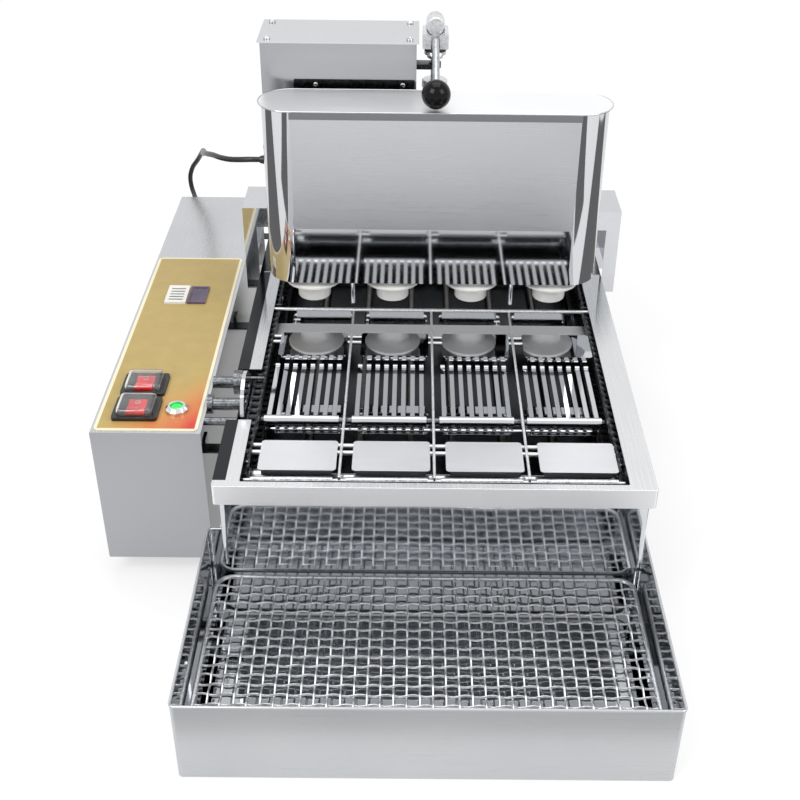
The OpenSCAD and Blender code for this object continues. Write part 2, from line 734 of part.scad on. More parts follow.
module rod_clamps() color(STEEL) placed() {
    translate([push_x, push_y, 0]) {
        difference() {
            translate([-clamp_w / 2, -28, block_z]) cube([clamp_w, 40, 20]);
            translate([-5.3, -29, block_z - 1]) cube([10.6, 17, 22]);
            translate([-clamp_w / 2 - 1, pivot_y - push_y, pivot_z]) rotate([0, 90, 0])
                cylinder(d = 5 + 2 * skim, h = clamp_w + 2);
        }
        translate([0, -10, collar_z]) rotate([-90, 0, 0]) cylinder(d = 21.6, h = 20);
        translate([-7, -8, block_z + 19]) cube([14, 16, 4]);
        difference() {
            translate([0, 0, ring_z]) cylinder(d = 26, h = ring_h);
            translate([0, 0, ring_z - 1]) cylinder(d = push_rod_d, h = ring_h + 2);
        }
    }
}

lever_l = sqrt(pow(pivot_y - ball_y, 2) + pow(pivot_z - ball_z, 2));
lever_slope = atan2(ball_z - pivot_z, pivot_y - ball_y);

module lever_rod() color(STEEL) placed() {
    translate([push_x, pivot_y, pivot_z]) {
        difference() {
            union() {
                rotate([0, 90, 0]) cylinder(d = 14, h = 10, center = true);
                rotate([90 - lever_slope, 0, 0]) cylinder(d = 9, h = lever_l - ball_d / 2 + 2);
            }
        }
        rotate([0, 90, 0]) cylinder(d = 5, h = clamp_w, center = true);
    }
}

module lever_ball() color(BLACK) placed() difference() {
    translate([push_x, ball_y, ball_z]) sphere(d = ball_d, $fn = 64);
    translate([push_x, pivot_y, pivot_z]) rotate([90 - lever_slope, 0, 0])
        cylinder(d = 9, h = lever_l - ball_d / 2 + 2);
}

module guide_bracket() color(BLACK) placed() translate([0, 0, bracket_z]) difference() {
    union() {
        translate([housing_right, push_y - 10, 0]) cube([-housing_right, 20, bracket_t]);
        translate([push_x, push_y, 0]) cylinder(d = 22, h = bracket_t);
    }
    translate([push_x, push_y, -1]) cylinder(d = push_rod_d + 2 * skim, h = bracket_t + 2);
}

// ---- control box ----

module control_box() color(STEEL) placed() difference() {
    translate([box_left, box_front, box_z]) cube([box_w, box_l, box_h]);
    translate([box_left + sheet_t, box_front + sheet_t, box_z + sheet_t])
        cube([box_w - 2 * sheet_t, box_l - 2 * sheet_t, box_h - 2 * sheet_t]);
    for (y = SWITCH_Y) translate([switch_x - 13, y - 17, box_top - 5]) cube([26, 34, 10]);
    translate([button_x, button_y, box_top - 5]) cylinder(d = 14, h = 10);
    translate([cable_box_x, box_back - 3, cable_box_z]) rotate([-90, 0, 0]) cylinder(d = 8, h = 5);
}

label_w = 113;
label_l = 410;
label_x = box_left + 3;
label_y = box_front + 4.5;
switch_x = box_left + 44;
SWITCH_Y = [box_front + 92, box_front + 43];
bezel_w = 50;
bezel_l = 44;
button_x = box_left + 88;
button_y = box_front + 43;
panel_z = box_top + label_t;

module label_plate() color(GOLD) placed() difference() {
    translate([label_x, label_y, box_top]) linear_extrude(label_t)
        translate([label_w / 2, 0]) round_rect(label_w, 0, label_l, 6);
    for (y = SWITCH_Y) translate([switch_x - 13, y - 17, box_top - 1]) cube([26, 34, 5]);
    translate([button_x, button_y, box_top - 1]) cylinder(d = 14, h = 5);
}

counter_x = box_left + 45;
display_x = box_left + 72;
meter_y = box_front + 307;

module counter_unit() color(WHITE) placed() difference() {
    translate([counter_x - 13.5, meter_y - 22.5, panel_z]) cube([27, 45, 3]);
    for (i = [0 : 4]) translate([counter_x - 9, meter_y - 16 + i * 7, panel_z + 1.5])
        cube([18, 3, 2]);
}

module display_window() color([0.35, 0.3, 0.4]) placed() difference() {
    translate([display_x - 11.5, meter_y - 21.5, panel_z]) cube([23, 43, 2.5]);
    translate([display_x - 9, meter_y - 18, panel_z + 1.7]) cube([18, 36, 2]);
}

module switch_bezels() color(BLACK) placed() for (y = SWITCH_Y) difference() {
    translate([switch_x, y, panel_z]) linear_extrude(4)
        translate([0, -bezel_l / 2]) round_rect(bezel_w, 0, bezel_l, 4);
    translate([switch_x - 10.3, y - 14.3, panel_z - 1]) cube([20.6, 28.6, 6]);
    bar_x(switch_x - 12.3, switch_x + 12.3, y, panel_z + 1, rocker_pin_d + 2 * skim);
    translate([switch_x - 12.3, y - 2, panel_z - 1]) cube([24.6, 4, 2]);
}

rocker_tilt = 8;
rocker_pin_d = 4;

// Rocker that tips on a pin across the middle of its bezel
module rocker(y) color("red") placed() translate([switch_x, y, panel_z + 1]) {
    along_x(-10, 20) rotate(-rocker_tilt)
        polygon([[-13, -5], [13, -5], [13, 5.5], [10, 5.8], [0, 3], [-12, 4.5], [-13, 4]]);
    for (s = [-1, 1]) along_x(s > 0 ? 10 : -12, 2) circle(d = rocker_pin_d);
}

module rocker_1() rocker(SWITCH_Y[0]);
module rocker_2() rocker(SWITCH_Y[1]);

// Clear splash covers over the rockers
module switch_covers() color([0.9, 0.9, 0.95, 0.4]) placed() for (y = SWITCH_Y) difference() {
    translate([switch_x, y, panel_z + 4]) linear_extrude(9)
        translate([0, -19]) round_rect(40, 0, 38, 4);
    translate([switch_x, y, panel_z + 3]) linear_extrude(8.8)
        translate([0, -17.5]) round_rect(37, 0, 35, 3);
}

module push_button() color("lime") placed() translate([button_x, button_y, panel_z - 8]) {
    cylinder(d = 13.6, h = 14.5);
}

module button_ring() color(STEEL) placed() translate([button_x, button_y, panel_z]) difference() {
    union() {
        cylinder(d = 25, h = 4);
        translate([0, 0, 4]) cylinder(d1 = 25, d2 = 19, h = 3);
    }
    translate([0, 0, -1]) cylinder(d = 13.6 + 2 * gap, h = 9);
}

// ---- motor cable ----

module cable_glands() color(BLACK) placed() {
    translate([housing_left - gland_l, cable_gland_y, cable_gland_z]) rotate([0, 90, 0])
        cylinder(d1 = cable_d + 2, d2 = gland_d, h = gland_l);
    translate([cable_box_x, box_back, cable_box_z]) rotate([-90, 0, 0])
        cylinder(d1 = gland_d, d2 = cable_d + 2, h = gland_l);
}

cable_sides = 8;
function unit(v) = v / norm(v);
function tangent(i) = unit(CABLE[min(i + 1, len(CABLE) - 1)] - CABLE[max(i - 1, 0)]);
function side_of(t) = unit(cross(t, [0.31, -0.2, 0.93]));

module motor_cable() color(BLACK) placed() {
    n = len(CABLE);
    points = [for (i = [0 : n - 1]) let (t = i == 0 ? [-1, 0, 0] : i == n - 1 ? [0, -1, 0] : tangent(i),
        u = side_of(t), v = cross(t, u))
        for (k = [0 : cable_sides - 1]) let (a = 360 * k / cable_sides)
            CABLE[i] + cable_d / 2 * (cos(a) * u + sin(a) * v)];
    sides = [for (i = [0 : n - 2], k = [0 : cable_sides - 1]) let (m = (k + 1) % cable_sides,
        a = i * cable_sides) each [[a + k, a + cable_sides + k, a + cable_sides + m],
        [a + k, a + cable_sides + m, a + m]]];
    first = [for (k = [0 : cable_sides - 1]) k];
    last = [for (k = [cable_sides - 1 : -1 : 0]) (n - 1) * cable_sides + k];
    polyhedron(points, concat(sides, [first, last]));
}

// ---- tray ----

module tray() color(STEEL) placed() translate([tray_x, 0, 0]) {
    difference() {
        translate([0, 0, tray_z]) linear_extrude(tray_h) round_rect(tray_w, tray_front, tray_l, 5);
        translate([0, 0, tray_z + sheet_t]) linear_extrude(tray_h)
            round_rect(tray_w - 2 * sheet_t, tray_front + sheet_t, tray_l - 2 * sheet_t, 4);
    }
    for (s = [-1, 1]) translate([s > 0 ? tray_w / 2 - sheet_t - 12 : -tray_w / 2 + sheet_t,
        tray_front + 20, tray_z + rack_z - rack_rod_d / 2 - gap - 1.5]) cube([12, tray_l - 40, 1.5]);
}

rack_w = tray_w - 2 * sheet_t - 6;
rack_l = tray_l - 2 * sheet_t - 6;
rack_y = tray_front + sheet_t + 3;

module mesh_rack() color(STEEL) placed() translate([tray_x, 0, tray_z + rack_z]) union() {
    r = 20;
    for (s = [-1, 1]) {
        bar_x(-rack_w / 2 + r, rack_w / 2 - r, rack_y + (s > 0 ? rack_l - rack_rod_d / 2 : rack_rod_d / 2),
            0, rack_rod_d);
        bar_y(s * (rack_w / 2 - rack_rod_d / 2), rack_y + r, rack_y + rack_l - r, 0, rack_rod_d);
    }
    for (c = [[1, 1, 0], [-1, 1, 90], [-1, -1, 180], [1, -1, 270]])
        translate([c[0] * (rack_w / 2 - r), rack_y + rack_l / 2 + c[1] * (rack_l / 2 - r), 0])
            rotate_extrude(angle = 90, start = c[2]) translate([r - rack_rod_d / 2, 0])
                circle(d = rack_rod_d);
    wires_x = floor((rack_w - 2 * r) / mesh_pitch / 2);
    for (i = [-wires_x : wires_x]) bar_y(i * mesh_pitch, rack_y + 3, rack_y + rack_l - 3,
        mesh_d / 2 + 0.05, mesh_d);
    wires_y = floor((rack_l - 2 * r) / mesh_pitch / 2);
    for (i = [-wires_y : wires_y]) bar_x(-rack_w / 2 + 3, rack_w / 2 - 3,
        rack_y + rack_l / 2 + i * mesh_pitch, -mesh_d / 2 - 0.05, mesh_d);
}

body_shell();
base_plate();
top_rim();
oil_tank();
feet();
heater_element();
chain_rails();
chain_left();
chain_right();
flight(0);  // flight_1
flight(1);  // flight_2
flight(2);  // flight_3
flight(3);  // flight_4
flight(4);  // flight_5
flight(5);  // flight_6
front_sprocket_shaft();
rear_sprocket_shaft();
shaft_bearings();
exit_roller_shaft();
exit_rollers();
lane_dividers();
cross_rod();
cross_strip();
flipper_shaft();
flipper_combs();
drive_shaft();
drive_disc();
drive_stub();
box_brackets();
hopper_shell();
hopper_lid();
nozzle(0);  // nozzle_1
nozzle(1);  // nozzle_2
nozzle(2);  // nozzle_3
nozzle(3);  // nozzle_4
piston_frame();
hopper_brackets();
hopper_stand();
drive_housing();
housing_cover();
gear_motor();
push_rod();
rod_clamps();
lever_rod();
lever_ball();
guide_bracket();
control_box();
label_plate();
counter_unit();
display_window();
switch_bezels();
rocker_1();
rocker_2();
switch_covers();
push_button();
button_ring();
cable_glands();
motor_cable();
tray();
mesh_rack();
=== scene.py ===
"""Looks of a four-lane donut fryer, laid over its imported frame. Metres, with the frame's origin."""
import json
import math

import bmesh
import bpy
import numpy as np
from bpy.props import FloatProperty, FloatVectorProperty, IntProperty, PointerProperty
from mathutils import Matrix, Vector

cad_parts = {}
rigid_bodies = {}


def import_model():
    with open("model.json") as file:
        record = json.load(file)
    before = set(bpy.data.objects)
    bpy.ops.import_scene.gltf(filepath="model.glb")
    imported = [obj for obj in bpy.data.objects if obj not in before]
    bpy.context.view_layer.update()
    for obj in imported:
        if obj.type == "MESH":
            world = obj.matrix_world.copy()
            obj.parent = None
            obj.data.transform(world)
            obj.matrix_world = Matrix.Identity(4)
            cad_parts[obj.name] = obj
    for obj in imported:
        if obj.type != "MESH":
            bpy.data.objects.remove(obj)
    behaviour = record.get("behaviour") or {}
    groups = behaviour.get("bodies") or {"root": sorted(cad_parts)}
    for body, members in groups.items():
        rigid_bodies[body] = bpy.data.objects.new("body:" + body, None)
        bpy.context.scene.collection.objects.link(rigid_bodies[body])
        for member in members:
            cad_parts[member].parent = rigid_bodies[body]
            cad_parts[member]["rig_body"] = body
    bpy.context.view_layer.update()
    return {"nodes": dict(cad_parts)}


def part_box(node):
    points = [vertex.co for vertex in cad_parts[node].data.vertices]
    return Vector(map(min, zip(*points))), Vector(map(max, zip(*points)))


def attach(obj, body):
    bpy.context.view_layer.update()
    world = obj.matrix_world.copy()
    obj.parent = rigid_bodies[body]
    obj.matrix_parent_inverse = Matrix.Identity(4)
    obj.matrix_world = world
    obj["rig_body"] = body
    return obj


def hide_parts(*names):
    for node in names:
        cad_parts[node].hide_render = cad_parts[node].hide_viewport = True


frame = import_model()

bl_info = {
    "name": "Donut fryer dressing",
    "version": (1, 0, 0),
    "blender": (4, 5, 0),
    "location": "View3D > Sidebar > Fryer",
    "description": "Finishes and fine pieces of a four-lane donut fryer",
    "category": "Object",
}

# The frame's origin lies under the middle of the machine. Sizes below are millimetres from the
# middle of the fryer body across, the hopper line along and the table up.
MIDDLE = np.array([-64.75, -121.5, 0.0])


def place(points):
    """Millimetres about the fryer body to metres in the frame: take the middle off, divide by 1000."""
    return (np.asarray(points, float) - MIDDLE) / 1000


# ---- sizes and colours that a user may change ----


class FryerSizes(bpy.types.PropertyGroup):
    """Sizes of the fine pieces"""

    mesh_pitch: FloatProperty(
        name="Mesh pitch", description="Spacing of the woven wires", default=0.0133, unit="LENGTH")
    mesh_wire: FloatProperty(
        name="Mesh wire", description="Diameter of the woven wires", default=0.0024, unit="LENGTH")
    mesh_crimp: FloatProperty(
        name="Crimp", description="Height of the wave in each wire", default=0.0013, unit="LENGTH")
    hem: FloatProperty(
        name="Tray hem", description="Thickness of the folded edge of the tray", default=0.0032,
        unit="LENGTH")
    cable_sides: IntProperty(
        name="Cable sides", description="Sides of the motor cable's tube", default=16, min=8, max=32)


class FryerColours(bpy.types.PropertyGroup):
    """Colours of the finishes, as sRGB values that are turned to linear"""

    label: FloatVectorProperty(
        name="Label gold", description="Printed film on the control box", subtype="COLOR_GAMMA", size=3,
        default=(0.70, 0.605, 0.352))
    rocker: FloatVectorProperty(
        name="Rocker red", description="Lit rocker switches", subtype="COLOR_GAMMA", size=3,
        default=(0.86, 0.10, 0.10))
    button: FloatVectorProperty(
        name="Button green", description="Lit push button", subtype="COLOR_GAMMA", size=3,
        default=(0.12, 0.78, 0.30))


# ---- mesh tools ----

# Angle in degrees from which an edge is drawn sharp
SHARP_ANGLE = 38
# Radius in millimetres at which a turned profile closes at its axis
AXIS = 0.02


def grid_faces(count, rings, sides, wrap_rings=False, wrap_sides=True, caps=True):
    """Faces of count grids of rings x sides points laid one after another: each cell joins a point with
    its next ring and next side, and a cap is the polygon of a first or last ring."""
    ring = np.arange(rings if wrap_rings else rings - 1)[:, None]
    side = np.arange(sides if wrap_sides else sides - 1)[None, :]
    following = (ring + 1) % rings
    beside = (side + 1) % sides
    near, far = ring * sides, following * sides
    cell = np.stack([near + side, near + beside, far + beside, far + side], -1).reshape(-1, 4)
    shift = (np.arange(count) * rings * sides)[:, None, None]
    faces = (cell[None] + shift).reshape(-1, 4).tolist()
    if caps and not wrap_rings:
        first = np.arange(sides)[None] + shift[:, :, 0]
        faces += first.tolist() + (first[:, ::-1] + (rings - 1) * sides).tolist()
    return faces


def make_piece(name, parts, body, finish, stands_for=(), smooth=True):
    """One object from a list of (points, faces) in millimetres, its normals turned outwards, riding on a
    body, with its finish."""
    points = np.concatenate([np.asarray(p, float).reshape(-1, 3) for p, _ in parts])
    starts = np.cumsum([0] + [np.asarray(p).reshape(-1, 3).shape[0] for p, _ in parts])
    faces = [[i + start for i in face] for (_, part), start in zip(parts, starts) for face in part]
    mesh = bpy.data.meshes.new(name)
    mesh.from_pydata(place(points), [], faces)
    work = bmesh.new()
    work.from_mesh(mesh)
    bmesh.ops.recalc_face_normals(work, faces=work.faces)
    work.to_mesh(mesh)
    work.free()
    mesh.polygons.foreach_set("use_smooth", np.full(len(mesh.polygons), smooth))
    if smooth:
        mesh.set_sharp_from_angle(angle=math.radians(SHARP_ANGLE))
    mesh.materials.append(finish)
    piece = bpy.data.objects.new(name, mesh)
    bpy.context.scene.collection.objects.link(piece)
    if stands_for:
        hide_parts(*stands_for)
    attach(piece, body)
    return piece


def axes(direction):
    """A direction as a unit vector, and two unit vectors square to it and to each other."""
    d = np.asarray(direction, float) / np.linalg.norm(direction)
    side = np.cross(d, [0.0, 0.0, 1.0] if abs(d[2]) < 0.9 else [0.0, 1.0, 0.0])
    side = side / np.linalg.norm(side)
    return d, side, np.cross(d, side)


def turned(profile, centres, direction=(0, 0, 1), sides=32):
    """A profile of (radius, height) turned about an axis, once at each centre: centre + height along the
    axis + radius times (cosine, sine) of the angle."""
    profile, centres = np.asarray(profile, float), np.asarray(centres, float).reshape(-1, 3)
    d, u, v = axes(direction)
    angle = np.linspace(0, 2 * np.pi, sides, endpoint=False)
    spoke = np.cos(angle)[:, None] * u + np.sin(angle)[:, None] * v
    ring = profile[:, 1, None, None] * d + profile[:, 0, None, None] * spoke[None]
    points = centres[:, None, None, :] + ring[None]
    return points, grid_faces(len(centres), len(profile), sides)


def rounded_outline(width, length, radius, corner=8):
    """Points round a rectangle with round corners about the origin: each corner's centre plus the radius
    times (cosine, sine) of an angle that runs a quarter turn."""
    quarter = np.linspace(0, np.pi / 2, corner)
    angle = (np.arange(4)[:, None] * np.pi / 2 + quarter).ravel()
    sx = np.repeat([1, -1, -1, 1], corner) * (width / 2 - radius)
    sy = np.repeat([1, 1, -1, -1], corner) * (length / 2 - radius)
    return np.stack([sx + radius * np.cos(angle), sy + radius * np.sin(angle)], -1)


def inset_rings(width, length, radius, rows, least, corner=8):
    """Rings of a rectangle with round corners, one for each (inset, height) row: width and length lose twice
    the inset, and the corner's radius loses it once but keeps its least value."""
    rings = []
    for inset, height in rows:
        flat = rounded_outline(width - 2 * inset, length - 2 * inset, max(radius - inset, least), corner)
        rings.append(np.column_stack([flat, np.full(len(flat), height)]))
    return np.stack(rings)


def slab(centre, width, length, radius, height, edge, corner=8):
    """A plate with round corners and round edges: the outline is drawn in by the edge's quarter circle at
    the bottom and at the top."""
    bend = np.linspace(0, np.pi / 2, 4)
    inset = np.concatenate([edge * (1 - np.sin(bend)), edge * (1 - np.cos(bend))])
    level = np.concatenate([edge * (1 - np.cos(bend)), height - edge * (1 - np.sin(bend))])
    rings = inset_rings(width, length, radius, zip(inset, level), 0.05, corner)
    return np.asarray(centre, float) + rings, grid_faces(1, len(inset), 4 * corner)


def tube(paths, radius, sides=8, lift=(0, 0, 1), closed=False):
    """Round tubes along paths (count x points x 3): at each point a circle in the plane of two vectors
    square to the path, the first one nearest to the lift vector."""
    paths = np.asarray(paths, float)
    paths = paths[None] if paths.ndim == 2 else paths
    if closed:
        along = np.roll(paths, -1, 1) - np.roll(paths, 1, 1)
    else:
        along = np.gradient(paths, axis=1)
    along = along / np.linalg.norm(along, axis=-1, keepdims=True)
    side = np.cross(along, np.asarray(lift, float))
    side = side / np.linalg.norm(side, axis=-1, keepdims=True)
    up = np.cross(side, along)
    angle = np.linspace(0, 2 * np.pi, sides, endpoint=False)[:, None]
    points = paths[:, :, None] + radius * (np.cos(angle) * side[:, :, None] + np.sin(angle) * up[:, :, None])
    return points, grid_faces(len(paths), paths.shape[1], sides, wrap_rings=closed)


def smooth_path(knots, count):
    """A curve through the knots: between two of them a cubic that meets both with the slope of the chord
    between their neighbours."""
    k = np.asarray(knots, float)
    slope = np.gradient(k, axis=0)
    t = np.linspace(0, len(k) - 1, count)
    i = np.minimum(t.astype(int), len(k) - 2)
    f = (t - i)[:, None]
    return ((2 * f**3 - 3 * f**2 + 1) * k[i] + (f**3 - 2 * f**2 + f) * slope[i]
            + (3 * f**2 - 2 * f**3) * k[i + 1] + (f**3 - f**2) * slope[i + 1])


# ---- finishes ----

finishes = {}

# Refractive index of the plastics, the rubber and the paint
IOR = {"acetal": 1.48, "abs": 1.53, "phenolic": 1.5, "rubber": 1.52, "pvc": 1.53, "acrylic": 1.49,
       "polycarbonate": 1.58, "enamel": 1.5}
# Depths in metres: of brushing lines, of pits in bar, of a spark-eroded mould's grain, of a polished mould's
# and of the label's satin
SCRATCH_DEPTH, PIT_DEPTH, ERODED_DEPTH, POLISHED_DEPTH = 0.000008, 0.00008, 0.00006, 0.00001
LABEL_DEPTH = 0.00004
# Spacing of a mould's grain in millimetres, drawn coarser than the real grain so that it shows
MOULD_GRAIN = 0.9
# Noise scales, in spots to the metre: clouds and waves of sheet, marks of bar, clouds of mouldings, and the
# label's grain, streaks and satin
SHEET_CLOUDS, SHEET_WAVES, BAR_MARKS, MOULD_CLOUDS = 9.0, 7.0, 260.0, 30.0
LABEL_GRAIN, LABEL_STREAKS, LABEL_SATIN = 45.0, 90.0, 1200.0
# Scale of the noise for lines that run across or along the machine: it is stretched along them
ALONG_X, ALONG_Y, EVEN = (0.012, 1, 1), (1, 0.012, 1), (1, 1, 1)
# In metres: half the depth of a patch laid on a wall, and a distance beyond every part
WALL, FAR = 0.0007, 2
# In metres: level at which the hopper's film ends, and width of the label's border and of its soft edge
FILM_END, BORDER, BORDER_EDGE = 0.326, 0.0035, 0.0003
# In metres behind the label's front end: where its red is full and where it has faded
RED_FULL, RED_GONE = -0.075, 0.055
WHITE = (1, 1, 1, 1)


def linear(colour):
    """sRGB hex or three sRGB values to linear red, green, blue and alpha: below 0.04045 divided by 12.92,
    above it ((value + 0.055) / 1.055) to the power 2.4."""
    if isinstance(colour, str):
        colour = [int(colour[i:i + 2], 16) / 255 for i in (1, 3, 5)]
    s = np.asarray(colour[:3], float)
    return (*np.where(s <= 0.04045, s / 12.92, ((s + 0.055) / 1.055) ** 2.4).tolist(), 1.0)


def add(tree, kind, inputs=None, stops=(), **settings):
    """Adds one node with its settings and links. An input takes a value, an output, or a node, which stands
    for its first output in use. Stops are a ramp's (position, colour) pairs."""
    node = tree.nodes.new(kind)
    for key, value in settings.items():
        setattr(node, key, value)
    for key, value in (inputs or {}).items():
        if isinstance(value, bpy.types.Node):
            value = next(output for output in value.outputs if output.enabled)
        if isinstance(value, bpy.types.NodeSocket):
            tree.links.new(value, node.inputs[key])
        else:
            node.inputs[key].default_value = value
    for number, (position, colour) in enumerate(stops):
        elements = node.color_ramp.elements
        element = elements[number] if number < len(elements) else elements.new(position)
        element.position = position
        element.color = linear(colour)
    return node


def blank_material(name):
    """A new material with an empty tree."""
    material = bpy.data.materials.new(name)
    material.use_nodes = True
    material.node_tree.nodes.clear()
    return material


def start(name):
    """A new finish: its empty tree and its object coordinates."""
    finishes[name] = blank_material(name)
    tree = finishes[name].node_tree
    return tree, add(tree, "ShaderNodeTexCoord").outputs["Object"]


def within(tree, at, low, high):
    """1 inside a box and 0 outside it, from its corners in metres: the largest of |place - middle| - half
    size over the three axes is below nought."""
    low, high = np.asarray(low, float), np.asarray(high, float)
    middle, half = ((low + high) / 2).tolist(), ((high - low) / 2).tolist()
    off = add(tree, "ShaderNodeVectorMath", {0: at, 1: middle}, operation="SUBTRACT")
    off = add(tree, "ShaderNodeVectorMath", {0: off}, operation="ABSOLUTE")
    off = add(tree, "ShaderNodeVectorMath", {0: off, 1: half}, operation="SUBTRACT")
    xyz = add(tree, "ShaderNodeSeparateXYZ", {"Vector": off})
    most = add(tree, "ShaderNodeMath", {0: xyz.outputs["X"], 1: xyz.outputs["Y"]}, operation="MAXIMUM")
    most = add(tree, "ShaderNodeMath", {0: most, 1: xyz.outputs["Z"]}, operation="MAXIMUM")
    return add(tree, "ShaderNodeMath", {0: most, 1: 0.0}, operation="LESS_THAN")


def steel_sheet(name, light, dark, roughness, grain, wave, stretch, patches=()):
    """Cold-rolled AISI 304 stainless sheet. Brushing leaves lines along one way, so the noise is stretched
    along it; polishing leaves a mirror that waves a little where the thin sheet was pressed. Grain is the
    line spacing in millimetres, drawn about three times as coarse as the real 0.4 mm so that it shows. Each
    patch, (low, high, colour, roughness, outside), is finished otherwise inside its box, or outside it, and
    some patches paint light or shade with a lighter or darker colour."""
    tree, at = start(name)
    along = add(tree, "ShaderNodeMapping", {"Vector": at, "Scale": stretch})
    lines = add(tree, "ShaderNodeTexNoise", {"Vector": along, "Scale": 1000 / grain, "Detail": 3.0,
                                             "Roughness": 0.6})
    clouds = add(tree, "ShaderNodeTexNoise", {"Vector": at, "Scale": SHEET_CLOUDS, "Detail": 4.0})
    blend = add(tree, "ShaderNodeMath", {0: lines, 1: clouds, 2: 0.12}, operation="MULTIPLY_ADD")
    colour = add(tree, "ShaderNodeValToRGB", {"Fac": blend}, stops=[(0.18, dark), (0.55, light)])
    rough = add(tree, "ShaderNodeMapRange", {"Value": lines, "From Min": 0.3, "From Max": 0.7,
                                             "To Min": roughness * 0.88, "To Max": roughness * 1.14})
    for low, high, tone, gloss, outside in patches:
        mask = within(tree, at, low, high)
        if outside:
            mask = add(tree, "ShaderNodeMath", {0: 1.0, 1: mask}, operation="SUBTRACT")
        colour = add(tree, "ShaderNodeMix", {"Factor": mask, "A": colour, "B": linear(tone)},
                     data_type="RGBA")
        rough = add(tree, "ShaderNodeMix", {"Factor": mask, "A": rough, "B": gloss})
    waves = add(tree, "ShaderNodeTexNoise", {"Vector": at, "Scale": SHEET_WAVES, "Detail": 1.0})
    sheet = add(tree, "ShaderNodeBump", {"Height": waves, "Strength": 1.0, "Distance": wave})
    scratch = add(tree, "ShaderNodeBump", {"Height": lines, "Strength": min(1.0, roughness * 1.2),
                                           "Distance": SCRATCH_DEPTH, "Normal": sheet})
    shader = add(tree, "ShaderNodeBsdfPrincipled", {"Base Color": colour, "Roughness": rough,
                                                    "Normal": scratch, "Metallic": 1.0})
    add(tree, "ShaderNodeOutputMaterial", {"Surface": shader})


def turned_metal(name, light, dark, roughness, spots=BAR_MARKS):
    """Ground or drawn bar: even metal with fine cloudy marks, darker where oil has dried on it."""
    tree, at = start(name)
    marks = add(tree, "ShaderNodeTexNoise", {"Vector": at, "Scale": spots, "Detail": 5.0, "Roughness": 0.65})
    colour = add(tree, "ShaderNodeValToRGB", {"Fac": marks}, stops=[(0.34, dark), (0.62, light)])
    rough = add(tree, "ShaderNodeMapRange", {"Value": marks, "To Min": roughness * 0.6,
                                             "To Max": roughness * 1.5})
    pits = add(tree, "ShaderNodeBump", {"Height": marks, "Strength": 0.25, "Distance": PIT_DEPTH})
    shader = add(tree, "ShaderNodeBsdfPrincipled", {"Base Color": colour, "Roughness": rough, "Normal": pits,
                                                    "Metallic": 1.0})
    add(tree, "ShaderNodeOutputMaterial", {"Surface": shader})


def moulded(name, light, dark, roughness, ior, bump=ERODED_DEPTH, clear=0.0, glow=0.0, specular=0.5):
    """Injection-moulded plastic or rubber: an even colour with a fine spark-eroded grain of about 0.9 mm,
    a little rougher in the hollows."""
    tree, at = start(name)
    speckle = add(tree, "ShaderNodeTexNoise", {"Vector": at, "Scale": 1000 / MOULD_GRAIN, "Detail": 2.0})
    clouds = add(tree, "ShaderNodeTexNoise", {"Vector": at, "Scale": MOULD_CLOUDS, "Detail": 3.0})
    colour = add(tree, "ShaderNodeValToRGB", {"Fac": clouds}, stops=[(0.35, dark), (0.6, light)])
    rough = add(tree, "ShaderNodeMapRange", {"Value": speckle, "To Min": roughness * 0.8,
                                             "To Max": roughness * 1.2})
    hollows = add(tree, "ShaderNodeBump", {"Height": speckle, "Strength": 0.3, "Distance": bump})
    inputs = {"Base Color": colour, "Roughness": rough, "Normal": hollows, "IOR": ior,
              "Specular IOR Level": specular, "Transmission Weight": clear}
    if glow:
        inputs.update({"Emission Color": linear(light), "Emission Strength": glow})
    shader = add(tree, "ShaderNodeBsdfPrincipled", inputs)
    add(tree, "ShaderNodeOutputMaterial", {"Surface": shader})


